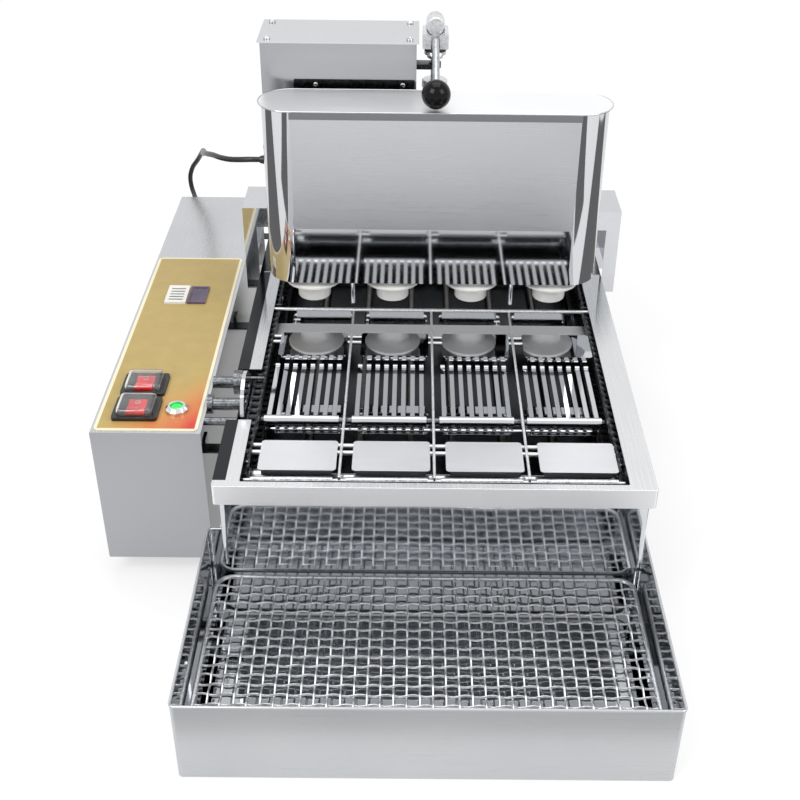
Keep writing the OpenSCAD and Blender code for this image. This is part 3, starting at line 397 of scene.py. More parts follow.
def label_film():
    """Printed polycarbonate film: gold with a light border line, and red that fades to orange over the
    front end of the panel and up its right edge. A fine satin grain keeps it from shining like the steel."""
    tree, at = start("printed_polycarbonate")
    low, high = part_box("label_plate")
    middle, size = (low + high) / 2, high - low
    spot = add(tree, "ShaderNodeMapping", {"Vector": at, "Location": (-middle.x, -middle.y, 0)})
    xyz = add(tree, "ShaderNodeSeparateXYZ", {"Vector": spot})
    # the border line: 1 where a place is nearer to an edge than the border's width
    edges = []
    for axis, width in (("X", size.x), ("Y", size.y)):
        off = add(tree, "ShaderNodeMath", {0: xyz.outputs[axis]}, operation="ABSOLUTE")
        edges.append(add(tree, "ShaderNodeMath", {0: off, 1: width / 2 - BORDER}, operation="SUBTRACT"))
    edge = add(tree, "ShaderNodeMath", {0: edges[0], 1: edges[1]}, operation="MAXIMUM")
    border = add(tree, "ShaderNodeMapRange", {"Value": edge, "From Min": -BORDER_EDGE,
                                              "From Max": BORDER_EDGE})
    grain = add(tree, "ShaderNodeTexNoise", {"Vector": at, "Scale": LABEL_GRAIN, "Detail": 6.0})
    gold = tuple(bpy.context.scene.fryer_colours.label)
    deep, pale = linear(tuple(c * 0.93 for c in gold)), linear(tuple(min(1, c * 1.06) for c in gold))
    base = add(tree, "ShaderNodeMix", {"Factor": grain, "A": deep, "B": pale}, data_type="RGBA")
    # the red field: it fades over 130 mm from the front end and reaches further back on the right
    reach = add(tree, "ShaderNodeMath", {0: xyz.outputs["X"], 1: 1.1}, operation="MULTIPLY")
    front = add(tree, "ShaderNodeMath", {0: xyz.outputs["Y"], 1: reach}, operation="SUBTRACT")
    drawn = add(tree, "ShaderNodeMapping", {"Vector": at, "Scale": (1, 0.12, 1)})
    streak = add(tree, "ShaderNodeTexNoise", {"Vector": drawn, "Scale": LABEL_STREAKS, "Detail": 3.0})
    wander = add(tree, "ShaderNodeMath", {0: streak, 1: 0.05}, operation="MULTIPLY")
    front = add(tree, "ShaderNodeMath", {0: front, 1: wander}, operation="SUBTRACT")
    heat = add(tree, "ShaderNodeMapRange", {"Value": front, "From Min": -size.y / 2 + RED_FULL,
                                            "From Max": -size.y / 2 + RED_GONE})
    tint = add(tree, "ShaderNodeValToRGB", {"Fac": heat},
               stops=[(0.0, "#C8321E"), (0.45, "#DE6A28"), (1.0, "#D8A548")])
    warm = add(tree, "ShaderNodeMath", {0: 1.0, 1: heat}, operation="SUBTRACT", use_clamp=True)
    mixed = add(tree, "ShaderNodeMix", {"Factor": warm, "A": base, "B": tint}, data_type="RGBA")
    final = add(tree, "ShaderNodeMix", {"Factor": border, "A": mixed, "B": linear("#EFE6C8")},
                data_type="RGBA")
    satin = add(tree, "ShaderNodeTexNoise", {"Vector": at, "Scale": LABEL_SATIN, "Detail": 1.0})
    hollows = add(tree, "ShaderNodeBump", {"Height": satin, "Strength": 0.15, "Distance": LABEL_DEPTH})
    shader = add(tree, "ShaderNodeBsdfPrincipled", {"Base Color": final, "Normal": hollows, "Roughness": 0.36,
                                                    "IOR": IOR["polycarbonate"]})
    add(tree, "ShaderNodeOutputMaterial", {"Surface": shader})


def box_m(node):
    """A node's lowest and highest corners in metres, as arrays."""
    return [np.asarray(corner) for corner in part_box(node)]


def front_wall(node, colour, roughness):
    """A patch over the front wall of a node, whose colour is painted light or shade on that wall."""
    y = box_m(node)[0][1]
    return ((-FAR, y - WALL, -FAR), (FAR, y + WALL, FAR), colour, roughness, False)


def sheet_patches():
    """Where a sheet is finished otherwise than the rest of its node, or painted lighter or darker as light or
    shade, under the finish's name.
    """
    tray_low, tray_high = box_m("tray")
    rim_low, rim_high = box_m("top_rim")
    box_high = box_m("control_box")[1]
    shell_low, shell_high = box_m("hopper_shell")
    lid_low, lid_high = box_m("hopper_lid")
    bend = (shell_high[1] - shell_low[1]) / 2
    # the inside of the tray is polished
    inside_tray = (tray_low + WALL, tray_high + [-WALL, -WALL, WALL], "#B9BBBE", 0.05, False)
    # painted shade: the outer edge of the rim's side is painted dark for the shade in the gap beside the
    # drive
    drive_gap_painted_shade = ((-FAR, rim_low[1] + 0.011, rim_high[2] - 0.0009), (rim_low[0] + 0.0135, FAR, FAR),
                    "#36373A", 0.2, False)
    # painted shade: the side of the control box that faces the drive is painted dark for the same shade
    box_side_painted_shade = ((box_high[0] - WALL, -FAR, -FAR), (box_high[0] + WALL, FAR, box_high[2] - WALL),
                "#2E2F32", 0.16, False)
    # the flat front of the hopper is satin down to the line where its film ends; the rest is mirror
    beyond_film = ((shell_low[0] + bend, shell_low[1] - WALL, FILM_END),
                   (shell_high[0] - bend, shell_low[1] + WALL, shell_high[2] - 0.0015), "#CFD0D3", 0.05, True)
    # the front lip of the lid is polished, and it is painted dark grey as painted shade from the dark below
    # it
    lid_lip_painted_shade = (lid_low - 0.01, (FAR, lid_low[1] + bend * 0.6, lid_high[2] - 0.0011), "#77797C", 0.05, False)
    return {
        "brushed_tray_stainless": [inside_tray],
        # painted shade: the box's side beside the drive and the box's front wall are drawn darker than its
        # sheet
        "brushed_box_stainless": [box_side_painted_shade, front_wall("control_box", "#ABACAF", 0.28)],
        # painted shade: the front wall of the drive housing is drawn darker than its sheet
        "brushed_housing_stainless": [front_wall("drive_housing", "#A9AAAD", 0.22)],
        "film_matt_stainless": [beyond_film],
        "satin_lid_stainless": [lid_lip_painted_shade],
        # painted shade on the rim's outer edge beside the drive; painted light: the rim's front wall is drawn
        # lighter than its sheet, and rougher
        "satin_rim_stainless": [drive_gap_painted_shade, front_wall("top_rim", "#F8F8F9", 0.52)],
    }


# Stainless sheets: light and dark sRGB, roughness, line spacing in mm, wave in m, and the way of the lines.
# To the eye brushed sheet is soft grey with fine lines, satin sheet is paler, mirror sheet shows what stands
# round it, and film keeps the hopper's front matt. The tank and the box's brackets are painted dark as
# painted shade in the recess under the machine and in the gap beside the drive.
SHEETS = [
    ("brushed_stainless", "#CDCED0", "#C2C4C7", 0.30, 1.3, 0.00012, ALONG_X),
    ("brushed_tray_stainless", "#C7C8CA", "#BDBFC2", 0.30, 1.3, 0.00012, ALONG_X),
    ("brushed_box_stainless", "#CECFD2", "#C3C4C7", 0.28, 1.3, 0.00010, ALONG_Y),
    ("brushed_housing_stainless", "#BDBEC1", "#B2B4B7", 0.30, 1.3, 0.00010, ALONG_X),
    ("brushed_flight_stainless", "#DCDDDF", "#D2D3D6", 0.36, 1.3, 0.00010, ALONG_X),
    ("mirror_stainless", "#D0D1D4", "#C9CBCE", 0.045, 6.0, 0.00045, EVEN),
    ("film_matt_stainless", "#CFD0D3", "#C8CACD", 0.30, 1.3, 0.00008, ALONG_X),
    ("satin_lid_stainless", "#F6F6F7", "#EFF0F1", 0.36, 1.3, 0.00008, ALONG_X),
    ("satin_stainless", "#DEDFE1", "#D2D4D7", 0.26, 1.3, 0.00015, ALONG_Y),
    ("satin_rim_stainless", "#E2E3E5", "#D8DADC", 0.26, 1.3, 0.00015, ALONG_Y),
    # painted shade: a dark sheet for the tank and the box's brackets, where shade falls
    ("oiled_tank_stainless", "#34363A", "#26282A", 0.22, 5.0, 0.0005, EVEN),
]

# Bars, wire, castings and small parts: light and dark sRGB, roughness, and the scale of the marks where it
# isn't BAR_MARKS. To the eye ground bar has sharp bright lines, a turned end and drawn wire are paler and
# softer, plated parts shine, bronze is brown and yellow, heat and oxide darken the heater's sheath and the
# black steel, and the chain and the shafts are drawn darker.
METALS = [
    ("ground_stainless_bar", "#CACCCE", "#9A9CA0", 0.16),
    ("turned_bar_end", "#E4E5E7", "#C6C8CA", 0.34),
    ("satin_bar", "#B9BBBD", "#97999C", 0.34),
    ("drawn_stainless_wire", "#EDEEEF", "#C4C6C9", 0.36, 400.0),
    ("oiled_chain_steel", "#4C4D50", "#222325", 0.34),
    ("oiled_steel_bar", "#7C7E81", "#515356", 0.22),
    ("nickel_alloy_heater_sheath", "#6E6C6A", "#4A4846", 0.38),
    ("cast_bronze", "#B68B4E", "#8A6634", 0.32),
    ("black_oxide_steel", "#3A3B3D", "#18191A", 0.30),
    ("zinc_plated_screw", "#D8DADC", "#9DA0A4", 0.22),
    ("chrome_plated_brass", "#E6E8EA", "#C6C8CA", 0.06),
]


def make_finishes():
    """Every finish of the fryer, under its material's common name."""
    patches = sheet_patches()
    for row in SHEETS:
        steel_sheet(*row, patches=patches.get(row[0], ()))
    for row in METALS:
        turned_metal(*row)
    # acetal is milky and even, ABS satin, phenolic a deep black gloss, rubber and PVC dull
    moulded("white_acetal", "#FAF9F6", "#F1F0EC", 0.30, IOR["acetal"])
    moulded("black_abs", "#1B1C1E", "#101113", 0.34, IOR["abs"])
    moulded("black_phenolic", "#0B0B0C", "#060607", 0.10, IOR["phenolic"], bump=POLISHED_DEPTH, specular=0.18)
    moulded("black_rubber", "#26272A", "#17181A", 0.62, IOR["rubber"])
    moulded("black_pvc", "#1C1D1F", "#111213", 0.33, IOR["pvc"])
    moulded("white_abs", "#ECEBE6", "#DEDDD8", 0.32, IOR["abs"])
    moulded("smoked_acrylic", "#5C4A66", "#43344C", 0.10, IOR["acrylic"], bump=POLISHED_DEPTH)
    # the rockers and the button are lit from inside, so their colour glows
    colours = bpy.context.scene.fryer_colours
    for name, colour, shade, roughness, glow in (("red_polycarbonate", colours.rocker, 0.7, 0.22, 0.35),
                                                 ("green_polycarbonate", colours.button, 0.8, 0.18, 0.7)):
        dark = tuple(c * shade for c in colour)
        moulded(name, tuple(colour), dark, roughness, IOR["polycarbonate"], glow=glow)
    # the hoods are clear and show only their edges, and enamel on the motor is an even satin grey
    moulded("clear_polycarbonate", "#F4F5F7", "#EDEEF1", 0.04, IOR["polycarbonate"], bump=POLISHED_DEPTH,
            clear=1.0)
    moulded("grey_machine_enamel", "#8A8C8E", "#77797B", 0.35, IOR["enamel"])
    label_film()


# Which finish each CAD node takes
CAD_FINISH = {
    "brushed_stainless": ["base_plate"],
    "brushed_tray_stainless": ["tray"],
    "brushed_housing_stainless": ["drive_housing"],
    "brushed_flight_stainless": ["flight_1", "cross_strip"],
    "film_matt_stainless": ["hopper_shell"],
    "brushed_box_stainless": ["control_box"],
    "mirror_stainless": ["body_shell", "housing_cover", "hopper_stand", "hopper_brackets", "drive_disc",
                         "flipper_combs", *(f"flight_{i}" for i in range(2, 7))],
    "satin_lid_stainless": ["hopper_lid"],
    "satin_rim_stainless": ["top_rim"],
    "satin_stainless": ["chain_rails"],
    # painted shade: the tank and the box's brackets take the dark sheet
    "oiled_tank_stainless": ["oil_tank", "box_brackets"],
    "oiled_steel_bar": ["flipper_shaft", "drive_shaft", "drive_stub"],
    "ground_stainless_bar": ["front_sprocket_shaft", "rear_sprocket_shaft", "exit_roller_shaft",
                             "exit_rollers", "piston_frame", "push_rod", "rod_clamps", "lever_rod"],
    "drawn_stainless_wire": ["lane_dividers", "cross_rod", "mesh_rack"],
    "oiled_chain_steel": ["chain_left", "chain_right"],
    "nickel_alloy_heater_sheath": ["heater_element"],
    "cast_bronze": ["shaft_bearings"],
    "black_oxide_steel": ["guide_bracket"],
    "white_acetal": ["nozzle_1", "nozzle_2", "nozzle_3", "nozzle_4"],
    "black_phenolic": ["lever_ball"],
    "black_abs": ["switch_bezels", "cable_glands"],
    "black_rubber": ["feet"],
    "black_pvc": ["motor_cable"],
    "printed_polycarbonate": ["label_plate"],
    "white_abs": ["counter_unit"],
    "smoked_acrylic": ["display_window"],
    "red_polycarbonate": ["rocker_1", "rocker_2"],
    "clear_polycarbonate": ["switch_covers"],
    "green_polycarbonate": ["push_button"],
    "chrome_plated_brass": ["button_ring"],
    "grey_machine_enamel": ["gear_motor"],
}


def paint_cad():
    """Gives every CAD node its finish by assigning to its material slots."""
    for finish, names in CAD_FINISH.items():
        for name in names:
            mesh = frame["nodes"][name].data
            for i in range(len(mesh.materials)):
                mesh.materials[i] = finishes[finish]


# ---- stage ----

# Where the camera stands, in metres, and how it looks: pitch down, turn and roll in degrees
CAMERA_AT = (0.03808, -1.23223, 0.95009)
CAMERA_PITCH, CAMERA_YAW, CAMERA_ROLL = 33.538, 0.3007, 0.731
# Its focal length and the width of its sensor in millimetres, and its shift
CAMERA_LENS, CAMERA_SENSOR, CAMERA_SHIFT = 54.315, 36.0, (-0.0182, 0.0006)

# Brightness of the white sky where it is seen or mirrored, and where it only lights
SKY_SEEN, SKY_LIGHT = 1.0, 0.5
# The white paper, in metres: how far it reaches to the front and sides and to the back, how deep it lies, and
# between which distances its own white rises from near to far
PAPER_REACH, PAPER_BACK, PAPER_DEPTH = 9, 14, 0.0005
PAPER_NEAR, PAPER_FAR, WHITE_NEAR, WHITE_FAR = 1.0, 4.0, 0.56, 0.80
# Greys of the cards that polished steel mirrors, and their heights over the floor
CARD_NEAR, CARD_FAR, FLAG_GREY = 1.0, 0.68, 0.18
CARD_HEIGHT, FLAG_HEIGHT = 0.001, 0.002
# Inner and outer edge, front and back of the two dark flags at each side, in metres
FLAGS = ((0.44, 0.80, -1.3, -0.52), (0.46, 1.5, -0.20, 0.60))
# Lamps: name, place, size in metres and power in watts
LAMPS = (("key_lamp", (-1.5, -1.6, 2.4), 1.6, 42), ("fill_lamp", (1.9, -1.2, 1.9), 1.4, 22),
         ("top_lamp", (0.1, 0.5, 2.6), 1.8, 22))
LAMP_TARGET = (0, 0, 0.2)


def stage_plane(name, surface, x, y, height):
    """A level rectangle of the studio between two x and two y at a height, and its surface's empty tree."""
    material = blank_material(surface)
    mesh = bpy.data.meshes.new(name)
    mesh.from_pydata([(x[0], y[0], height), (x[1], y[0], height), (x[1], y[1], height), (x[0], y[1], height)],
                     [], [(0, 1, 2, 3)])
    mesh.materials.append(material)
    plane = bpy.data.objects.new(name, mesh)
    bpy.context.scene.collection.objects.link(plane)
    return plane, material.node_tree


def card(name, x, y, height, near, far):
    """A flat card on the floor that only polished metal shows. Its grey runs evenly from near, at its front
    edge, to far, at its back edge."""
    plane, tree = stage_plane(name, name, x, y, height)
    spot = add(tree, "ShaderNodeSeparateXYZ", {"Vector": add(tree, "ShaderNodeTexCoord").outputs["Object"]})
    grey = add(tree, "ShaderNodeMapRange", {"Value": spot.outputs["Y"], "From Min": y[0], "From Max": y[1],
                                            "To Min": near, "To Max": far})
    shine = add(tree, "ShaderNodeEmission", {"Color": WHITE, "Strength": grey})
    add(tree, "ShaderNodeOutputMaterial", {"Surface": shine})
    plane.visible_camera = plane.visible_diffuse = plane.visible_shadow = plane.visible_transmission = False


def lamp(name, at, size, power):
    """A square soft lamp at a place, turned to the object, in metres and watts."""
    light = bpy.data.lights.new(name, "AREA")
    light.size, light.energy = size, power
    obj = bpy.data.objects.new(name, light)
    ahead, side, square = axes(np.asarray(LAMP_TARGET, float) - np.asarray(at, float))
    rows = np.eye(4)
    rows[:3] = np.column_stack([side, -square, -ahead, at])
    obj.matrix_world = Matrix(rows.tolist())
    obj.visible_camera = False
    bpy.context.scene.collection.objects.link(obj)


def seen(tree):
    """1 where a surface or the sky is looked at, mirrored or seen through glass, 0 where it only lights."""
    path = add(tree, "ShaderNodeLightPath")
    ray = add(tree, "ShaderNodeMath", {0: path.outputs["Is Camera Ray"], 1: path.outputs["Is Glossy Ray"]},
              operation="MAXIMUM")
    return add(tree, "ShaderNodeMath", {0: ray, 1: path.outputs["Is Transmission Ray"]}, operation="MAXIMUM")


def make_camera():
    """The camera: forward from pitch and turn, then rolled about the line of sight."""
    scene = bpy.context.scene
    pitch, yaw, roll = (math.radians(a) for a in (CAMERA_PITCH, CAMERA_YAW, CAMERA_ROLL))
    forward = np.array([math.sin(yaw) * math.cos(pitch), math.cos(yaw) * math.cos(pitch), -math.sin(pitch)])
    right = np.array([math.cos(yaw), -math.sin(yaw), 0.0])
    up = np.cross(right, forward)
    rows = np.eye(4)
    rows[:3] = np.column_stack([math.cos(roll) * right + math.sin(roll) * up,
                                math.cos(roll) * up - math.sin(roll) * right, -forward, CAMERA_AT])
    camera = bpy.data.objects.new("camera", bpy.data.cameras.new("camera"))
    camera.data.sensor_width, camera.data.lens = CAMERA_SENSOR, CAMERA_LENS
    camera.data.shift_x, camera.data.shift_y = CAMERA_SHIFT
    camera.matrix_world = Matrix(rows.tolist())
    scene.collection.objects.link(camera)
    scene.camera = camera
    scene.view_settings.view_transform = "Standard"


def make_sky():
    """An even white sky that lights the object at half its seen brightness."""
    world = bpy.data.worlds.new("studio")
    world.use_nodes = True
    tree = world.node_tree
    tree.nodes.clear()
    level = add(tree, "ShaderNodeMapRange", {"Value": seen(tree), "To Min": SKY_LIGHT, "To Max": SKY_SEEN})
    sky = add(tree, "ShaderNodeBackground", {"Color": WHITE, "Strength": level})
    add(tree, "ShaderNodeOutputWorld", {"Surface": sky})
    bpy.context.scene.world = world


def make_floor():
    """White paper that keeps the object's shadow; its own white rises where the lamps no longer reach."""
    tree = stage_plane("floor", "white_paper", (-PAPER_REACH, PAPER_REACH), (-PAPER_REACH, PAPER_BACK),
                       -PAPER_DEPTH)[1]
    away = add(tree, "ShaderNodeVectorMath", {0: add(tree, "ShaderNodeTexCoord").outputs["Object"]},
               operation="LENGTH")
    white = add(tree, "ShaderNodeMapRange", {"Value": away, "From Min": PAPER_NEAR, "From Max": PAPER_FAR,
                                             "To Min": WHITE_NEAR, "To Max": WHITE_FAR})
    strength = add(tree, "ShaderNodeMath", {0: seen(tree), 1: white}, operation="MULTIPLY")
    glow = add(tree, "ShaderNodeEmission", {"Color": WHITE, "Strength": strength})
    matt = add(tree, "ShaderNodeBsdfDiffuse", {"Color": linear("#B4B4B4")})
    add(tree, "ShaderNodeOutputMaterial", {"Surface": add(tree, "ShaderNodeAddShader", {0: glow, 1: matt})})


def make_stage():
    """Camera, white sky and floor, soft lamps and the cards that the polished steel mirrors."""
    make_camera()
    make_sky()
    make_floor()
    # on the floor: a grey run in front, and darker flags with a light gap between them at each side
    card("front_card", (-0.42, 0.42), (-1.15, -0.52), CARD_HEIGHT, CARD_NEAR, CARD_FAR)
    for name, side in (("left", -1), ("right", 1)):
        for number, (inner, outer, front, back) in enumerate(FLAGS):
            card(f"{name}_flag_{number + 1}", sorted((side * inner, side * outer)), (front, back),
                 FLAG_HEIGHT, FLAG_GREY, FLAG_GREY)
    for row in LAMPS:
        lamp(*row)


# ---- pieces ----

# Route of the motor cable, from the gland on the drive housing to the one on the control box
CABLE = [
    (-217, 76, 363), (-230, 76, 363), (-243, 80, 361), (-257, 88, 358), (-271, 101, 355), (-283, 119, 351),
    (-294, 140, 344), (-302, 165, 335), (-309, 193, 323), (-313, 220, 312), (-318, 247, 302),
    (-322, 273, 291), (-327, 299, 281), (-331, 322, 274), (-336, 342, 267), (-342, 356, 256),
    (-350, 367, 242), (-360, 375, 227), (-366, 380, 210), (-366, 381, 194), (-362, 376, 181),
    (-357, 366, 173), (-355, 353, 169), (-355, 340, 169),
]
# Its diameter in millimetres and the number of points along its curve
CABLE_D, CABLE_POINTS = 7.0, 116
# Place of the push rod along the machine, in millimetres
ROD_Y = 66.0
ROCKERS = ("rocker_1", "rocker_2")
# Rise of a hood's top over its round edge, in millimetres
HOOD_CROWN = 0.4


def body_of(node):
    """The body that carries a CAD node."""
    return frame["nodes"][node]["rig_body"]


def box_mm(node):
    """A node's lowest and highest corners in millimetres about the fryer body."""
    return [np.asarray(corner) * 1000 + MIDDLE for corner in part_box(node)]


def make_motor_cable():
    """Round PVC cable: a tube along a smooth curve through the route's points."""
    sides = bpy.context.scene.fryer_sizes.cable_sides
    path = smooth_path(CABLE, CABLE_POINTS)
    piece = make_piece("motor_cable_sheath", [tube(path, CABLE_D / 2, sides, lift=(0.3, 0.2, 0.93))],
                       body_of("motor_cable"), finishes["black_pvc"], ["motor_cable"])


def wave_wires(count, length, pitch, crimp, first_up, across):
    """Paths of crimped wires, six points to a mesh: along the wire u, aside i times the pitch, and up
    crimp times the cosine of pi u / pitch, turned over for every second wire."""
    steps = int(length / pitch * 6)
    u = np.linspace(-length / 2, length / 2, steps)
    i = np.arange(count) - (count - 1) / 2
    turn = np.where(np.arange(count) % 2 == 0, 1.0, -1.0) * first_up
    up = crimp * turn[:, None] * np.cos(np.pi * u / pitch)[None]
    aside = np.broadcast_to((i * pitch)[:, None], up.shape)
    along = np.broadcast_to(u[None], up.shape)
    return np.stack([aside, along, up] if across == "x" else [along, aside, up], -1)


def outline_path(width, length, radius, centre, corner=10):
    """Closed path round a rectangle with round corners, at a centre in millimetres."""
    flat = rounded_outline(width, length, radius, corner)
    return np.column_stack([flat, np.zeros(len(flat))]) + centre


def make_mesh_rack():
    """Wire rack of the tray: crimped wires that pass over and under each other, welded to a border rod."""
    sizes = bpy.context.scene.fryer_sizes
    low, high = box_mm("mesh_rack")
    centre, span = (low + high) / 2, high - low
    rod, corner, edge_gap, wire_gap = 2.5, 18, 18, 6
    pitch, wire, crimp = sizes.mesh_pitch * 1000, sizes.mesh_wire * 1000, sizes.mesh_crimp * 1000
    across, along = int((span[0] - edge_gap) / pitch), int((span[1] - edge_gap) / pitch)
    parts = [tube(outline_path(span[0] - 2 * rod, span[1] - 2 * rod, corner, centre), rod, 12, closed=True)]
    parts.append(tube(centre + wave_wires(across, span[1] - wire_gap, pitch, crimp, 1, "x"), wire / 2, 6))
    parts.append(tube(centre + wave_wires(along, span[0] - wire_gap, pitch, crimp, -1, "y"), wire / 2, 6))
    make_piece("woven_rack", parts, body_of("mesh_rack"), finishes["drawn_stainless_wire"],
               ["mesh_rack"])


def make_tray_hem():
    """Rolled edge of the tray: a round bead along the top of its four walls."""
    low, high = box_mm("tray")
    bead, inset, corner = bpy.context.scene.fryer_sizes.hem * 500, 1.2, 5
    centre = np.array([(low[0] + high[0]) / 2, (low[1] + high[1]) / 2, high[2] - bead])
    path = outline_path(high[0] - low[0] - inset, high[1] - low[1] - inset, corner, centre)
    make_piece("tray_hem", [tube(path, bead, 12, closed=True)], body_of("tray"),
               finishes["brushed_stainless"])


def pan_head(radius, slot_depth=0.7):
    """Profile of a pan-head screw, (radius, height): flat foot, round edge, low crown, sunk middle."""
    bend = np.linspace(0, np.pi / 2, 6)
    edge = np.column_stack([radius * (0.8 + 0.2 * np.cos(bend)), radius * (0.25 + 0.3 * np.sin(bend))])
    floor = radius * 0.6 - slot_depth
    crown = [[radius * 0.42, radius * 0.62], [radius * 0.34, floor], [AXIS, floor]]
    return np.vstack([[[radius * 0.97, 0]], edge, crown])


def make_screws(name, centres, direction, radius, body):
    """Pan-head screws standing on a face at some centres, in millimetres."""
    make_piece(name, [turned(pan_head(radius), centres, direction, 20)], body, finishes["zinc_plated_screw"])


def make_housing_shadow_strip():
    """Black strip across the front of the drive housing, just above the lid, put there as painted shadow of
    the gap, with two bright screws.
    """
    low, high = box_mm("drive_housing")
    left, right, height, half = low[0] + 38, high[0] - 2, 17, 0.3
    x, y, z = (left + right) / 2, low[1] - 0.35, high[2] - 43
    outline = rounded_outline(right - left, height, 1.5) + [x, z - height / 2]
    body = body_of("drive_housing")
    make_piece("housing_shadow_strip", [prism(outline, y - half, y + half)], body, finishes["black_oxide_steel"],
               smooth=False)
    spots = [(screw_x, y - half, z - 6) for screw_x in (-141, -38)]
    make_screws("shadow_strip_screws", spots, (0, -1, 0), 3.0, body)


def make_cover_screws():
    """Four pan-head screws at the corners of the drive housing's cover."""
    low, high = box_mm("housing_cover")
    inset = 11
    spots = [(x, y, high[2]) for x in (low[0] + inset, high[0] - inset)
             for y in (low[1] + inset, high[1] - inset)]
    make_screws("cover_screws", spots, (0, 0, 1), 4.2, body_of("housing_cover"))


def stadium_path(flat, radius, centre, bend=24):
    """Closed path round a strip with half-round ends: a half turn about each end of the flat length."""
    half = np.linspace(-np.pi / 2, np.pi / 2, bend)
    right = np.column_stack([flat / 2 + radius * np.cos(half), radius * np.sin(half), np.zeros(bend)])
    return np.vstack([right, right * [-1, -1, 1]]) + centre


def lane_middle(number):
    """Middle of a lane across the machine, from its nozzle, in millimetres."""
    low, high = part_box(f"nozzle_{number}")
    return (low.x + high.x) / 2 * 1000 + MIDDLE[0]


def make_hopper_trim():
    """Rolled bead round the lid, and two studs under the hopper between the nozzles."""
    low, high = box_mm("hopper_lid")
    centre = np.array([(low[0] + high[0]) / 2, (low[1] + high[1]) / 2, high[2] - 0.5])
    radius = (high[1] - low[1]) / 2
    flat = high[0] - low[0] - 2 * radius
    make_piece("lid_bead", [tube(stadium_path(flat, radius - 0.6, centre), 0.9, 10, closed=True)],
               body_of("hopper_lid"), finishes["mirror_stainless"])
    low = box_mm("hopper_shell")[0]
    stud_h, behind_front, drop = 37, 17, 36
    stud = [(AXIS, 0), (2.5, 0), (2.8, 0.5), (2.8, stud_h), (AXIS, stud_h)]
    middles = [(lane_middle(i) + lane_middle(i + 1)) / 2 for i in (1, 3)]
    studs = [(x, low[1] + behind_front, low[2] - drop) for x in middles]
    make_piece("hopper_studs", [turned(stud, studs, (0, 0, 1), 20)], body_of("hopper_shell"),
               finishes["ground_stainless_bar"])


def make_nozzles():
    """Dosing nozzles: a round flange under the hopper, a bowl that narrows to a tube, and a bore. The bowl's
    radius falls from flange to tube by a quarter sine as it goes down. Heights run from the nozzle's top."""
    fall = np.linspace(0, 1, 7)
    flange, tube_r, bore, foot = 34.8, 20.2, 15.4, -33.2
    bowl = np.column_stack([flange - (flange - tube_r) * np.sin(fall * np.pi / 2), -10.8 - 5.4 * fall])
    top = [[AXIS, 0.5], [25, 0.5], [25, -6.4], [34, -7], [35.2, -7.8], [35.4, -9.8]]
    end = [[tube_r, -18], [tube_r, -32], [19.8, -32.8], [19.0, foot], [15.9, foot], [bore, -32.6],
           [bore, -28], [AXIS, -28]]
    profile = np.vstack([top, bowl, end])
    for i in (1, 2, 3, 4):
        low, high = box_mm(f"nozzle_{i}")
        centre = [(low[0] + high[0]) / 2, (low[1] + high[1]) / 2, high[2]]
        make_piece(f"turned_nozzle_{i}", [turned(profile, centre, (0, 0, 1), 48)], body_of(f"nozzle_{i}"),
                   finishes["white_acetal"], [f"nozzle_{i}"])


def prism(outline, first, last):
    """An outline of (across, up) carried along the machine from first to last."""
    outline = np.asarray(outline, float)
    across, up = outline[:, 0], outline[:, 1]
    rings = np.stack([np.column_stack([across, np.full(len(outline), y), up]) for y in (first, last)])
    return rings, grid_faces(1, 2, len(outline))


def disc(radius, height, edge, rise):
    """Profile of a thick disc whose two edges are cut off by edge across and rise along."""
    return [(AXIS, 0), (radius - edge, 0), (radius, rise), (radius, height - rise), (radius - edge, height),
            (AXIS, height)]


def make_clamp():
    """Block on the push rod that cradles a turned collar, the clamp ring below it and a black washer. The
    cradle is an arc about the collar's axis."""
    axis, radius, play, slot, side = 533.0, 11.0, 0.1, 5.3, 15.2
    foot, top, edge, washer_z = 512, 530, 0.6, 507.4
    arc = np.radians(np.linspace(-16, -62, 8))
    cheek = [(slot, foot), (side - edge, foot), (side, foot + edge), (side, top - 1.6), (13.6, top)]
    cheek += [((radius + play) * math.cos(a), axis + (radius + play) * math.sin(a)) for a in arc]
    other = [(-x, z) for x, z in cheek][::-1]
    whole = cheek[1:] + other[:-1]
    collar = [(AXIS, 0), (7.4, 0), (7.6, 0.3), (8.0, 0.3), (8.2, 0), (9.8, 0), (10.8, 0.8), (radius, 1.6),
              (radius, 26), (10.3, 27), (AXIS, 27)]
    ring_z = box_mm("rod_clamps")[0][2]
    body = body_of("rod_clamps")
    parts = [prism(cheek, ROD_Y - 14, ROD_Y + 1), prism(other, ROD_Y - 14, ROD_Y + 1),
             prism(whole, ROD_Y + 1, ROD_Y + 22),
             turned(collar, (0, ROD_Y + 4, axis), (0, 1, 0), 48),
             turned(disc(15.4, 10, 1.2, 1.2), (0, ROD_Y, ring_z), (0, 0, 1), 40)]
    make_piece("clamp_block", parts, body, finishes["turned_bar_end"], ["rod_clamps"])
    washer = turned(disc(12.8, 4.4, 0.4, 0.5), (0, ROD_Y, washer_z), (0, 0, 1), 32)
    make_piece("clamp_washer", [washer], body, finishes["black_rubber"])


def make_lever_arm():
    """Arm of the hand lever, a bar turned about the line from the ball to the pivot and a little past it."""
    low, high = box_mm("lever_ball")
    ball = (low + high) / 2
    pivot = np.array([0.0, ROD_Y - 22, 520.0])
    reach = np.linalg.norm(pivot - ball) + 7
    arm = [(AXIS, 0), (4.1, 0), (4.2, 0.3), (4.2, reach - 1), (3.4, reach), (AXIS, reach)]
    make_piece("lever_arm", [turned(arm, ball, pivot - ball, 24)], body_of("lever_rod"),
               finishes["satin_bar"], ["lever_rod"])


